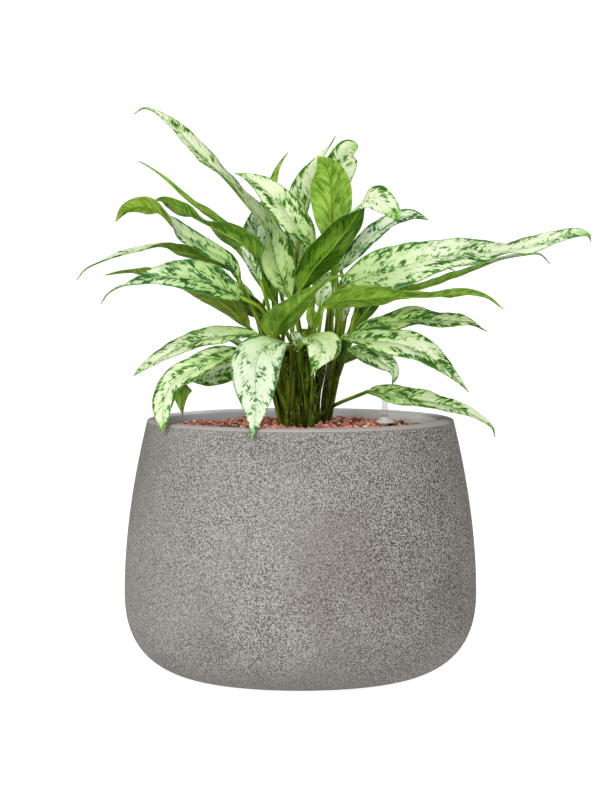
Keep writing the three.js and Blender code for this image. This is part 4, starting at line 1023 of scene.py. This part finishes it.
def blade_row(mesh, spine, share, phase):
    """The points of the blade's face and back at one place along it."""
    leaf = mesh.leaf
    fold = math.radians(leaf.fold)
    half = half_width(leaf, share)
    along = share * spine.rib.length
    centre, up, side = spine.frame(spine.stalk.length + along)
    face, back = [], []
    for v in ACROSS:
        rim = abs(v)
        ripple = sum(
            spot(along * rate, v * drift, phase + shift) * height
            for rate, drift, shift, height in RIPPLES
        )
        turn = 2 * math.pi * leaf.waves * share + (0 if v > 0 else 1.2)
        bend = leaf.wave * (half / leaf.half) * math.sin(turn)
        lift = half * (math.sin(fold) * rim + 0.075 * math.sin(math.pi * rim))
        lift += bend * rim + ripple * rim**2 * min(half / 12, 1)
        lift -= 0.55 * math.exp(-((v * half / 1.3) ** 2)) * min(half / 4, 1)
        top = centre + side * (half * v * math.cos(fold)) + up * lift
        low = top - up * lerp(MIDDLE_THICKNESS, RIM_THICKNESS, rim**1.5)
        face.append(mesh.add(top, along, v * half, share, rim))
        back.append(mesh.add(low, along, v * half, share, rim))
    return face, back


def make_blade(mesh, spine, phase):
    rows = max(14, round(spine.rib.length / BLADE_ROW))
    shares = [1 - (1 - k / rows) ** 1.2 for k in range(rows + 1)]
    sheets = [blade_row(mesh, spine, share, phase) for share in shares]
    steps = range(len(ACROSS) - 1)
    for (face, back), (next_face, next_back) in zip(sheets, sheets[1:]):
        for j in steps:
            mesh.close(FACE, (face[j], face[j + 1], next_face[j + 1], next_face[j]))
            mesh.close(BACK, (back[j + 1], back[j], next_back[j], next_back[j + 1]))
        mesh.close(FACE, (back[0], face[0], next_face[0], next_back[0]))
        mesh.close(FACE, (face[-1], back[-1], next_back[-1], next_face[-1]))
    for (face, back), turn in ((sheets[0], 1), (sheets[-1], -1)):
        for j in steps:
            mesh.close(BACK, (face[j], back[j], back[j + 1], face[j + 1])[::turn])


def stalk_form(spine, length):
    """Share, thickness, depth under the blade and groove of the stalk and midrib at a length."""
    if length < spine.stalk.length:
        share = length / spine.stalk.length - 1
        sheath = max(0, -0.4 - share) / 0.6
        thick = lerp(STALK_THICKNESS, SHEATH_THICKNESS, sheath)
        return share, thick, 0, lerp(STALK_GROOVE, SHEATH_GROOVE, sheath)
    share = (length - spine.stalk.length) / spine.rib.length
    thick = lerp(0.3, lerp(2.3, 1.25, smooth(0, 0.16, share)), (1 - share) ** 0.8)
    drop = smooth(0, 0.06, share) * (thick * 0.55 + 0.95)
    return share, thick, drop, lerp(STALK_GROOVE, 0, smooth(0, 0.1, share))


def make_stalk(mesh, spine):
    steps = max(20, round(spine.length / STALK_ROW))
    rings = []
    for k in range(steps + 1):
        length = spine.length * k / steps * RIB_REACH
        centre, up, side = spine.frame(length)
        share, thick, drop, groove = stalk_form(spine, length)
        ring = []
        for j in range(STALK_SIDES):
            turn = 2 * math.pi * j / STALK_SIDES
            out = thick * (1 - groove * max(math.sin(turn), 0) ** 3)
            where = centre + side * (out * math.cos(turn)) + up * (out * math.sin(turn) - drop)
            ring.append(mesh.add(where, length, turn * 2.2, share, 0.5))
        rings.append(ring)
    for low, high in zip(rings, rings[1:]):
        for j in range(STALK_SIDES):
            n = (j + 1) % STALK_SIDES
            mesh.close(STALK, (low[j], high[j], high[n], low[n]))
    mesh.close(STALK, tuple(rings[0]), tuple(reversed(rings[-1])))


def make_leaf(name, leaf, canes, materials, number):
    """One leaf: a thin closed blade with a channel and wavy halves, on a grooved stalk."""
    dice = random.Random(LEAF_SEED + number)
    spine = Spine(leaf, canes, dice)
    mesh = LeafMesh(leaf, 3.1 + number * 1.7)
    make_blade(mesh, spine, dice.uniform(0, 40))
    make_stalk(mesh, spine)
    shape = mesh.points, mesh.faces
    piece = make_piece(name + "_fine", *shape, materials, 55, mesh.known, mesh.kinds)
    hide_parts(name)


# Canes

CANE_SEED = 900
CANE_ROW, CANE_SIDES = 2.2, 26
FIRST_SCAR, SCAR_GAPS, SCAR_WIDTH = (6, 12), (8, 14), 1.1


def make_cane(name, radius, line, material, number):
    """One cane: a slightly bent, ringed stem that thins upwards."""
    dice = random.Random(CANE_SEED + number)
    scars = []
    height = dice.uniform(*FIRST_SCAR)
    while height < line.length:
        scars.append(height)
        height += dice.uniform(*SCAR_GAPS)
    phase = dice.uniform(0, 30)
    points, values, rings = [], [], []
    steps = round(line.length / CANE_ROW)
    for k in range(steps + 1):
        share = k / steps
        length = share * line.length
        centre = line.at(share)
        tangent = (line.at(min(share + 0.03, 1)) - line.at(max(share - 0.03, 0))).normalized()
        side = Vector((1, 0, 0))
        side = (side - tangent * side.dot(tangent)).normalized()
        deep = tangent.cross(side)
        scar = max(math.exp(-(((length - s) / SCAR_WIDTH) ** 2)) for s in scars)
        ring = []
        for j in range(CANE_SIDES):
            turn = 2 * math.pi * j / CANE_SIDES
            lobe = spot(math.cos(turn), math.sin(turn), length * 0.02 + phase)
            out = radius * (1 - CANE_THINNING * share) * (0.97 + 0.05 * lobe + 0.04 * scar)
            where = centre + side * (out * math.cos(turn)) + deep * (out * math.sin(turn))
            ring.append(len(points))
            points.append(tuple(where))
            values.append((length, turn, scar))
        rings.append(ring)
    faces = bands(zip(rings, rings[1:]), CANE_SIDES)
    faces += [tuple(reversed(rings[0])), tuple(rings[-1])]
    piece = make_piece(name + "_fine", points, faces, [material], 60, {"caneco": values})
    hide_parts(name)


# The whole model

SURFACE, FREE_STALK, GAUGE_REACH = 290, (16, 42, 4.2), 9


def stem_spots(lines):
    """Where stems stand in the granules, and how far granules keep off their middles."""
    stems = []
    for name, line in lines.items():
        foot = min((line.at(k / 40) for k in range(41)), key=lambda p: abs(p.z - SURFACE))
        stems.append((foot.x, foot.y, CANES[name][0] * 0.95))
    return stems + [FREE_STALK, (*GAUGE, GAUGE_REACH)]


def make_plant(lines):
    bark = cane_material()
    for number, (name, line) in enumerate(lines.items()):
        make_cane(name, CANES[name][0], line, bark, number)
    canes = [(CANES[name][0], line) for name, line in lines.items()]
    materials = [face_material(), back_material(), stalk_material()]
    for number, (name, row) in enumerate(LEAVES.items()):
        make_leaf(name, Leaf(*row), canes, materials, number)


cane_lines = {name: Curve(triples(row[1])) for name, row in CANES.items()}
make_camera()
make_stage()
make_sky()
make_lights()
make_planter()
make_bed()
make_pebbles(stem_spots(cane_lines))
make_gauge()
make_plant(cane_lines)
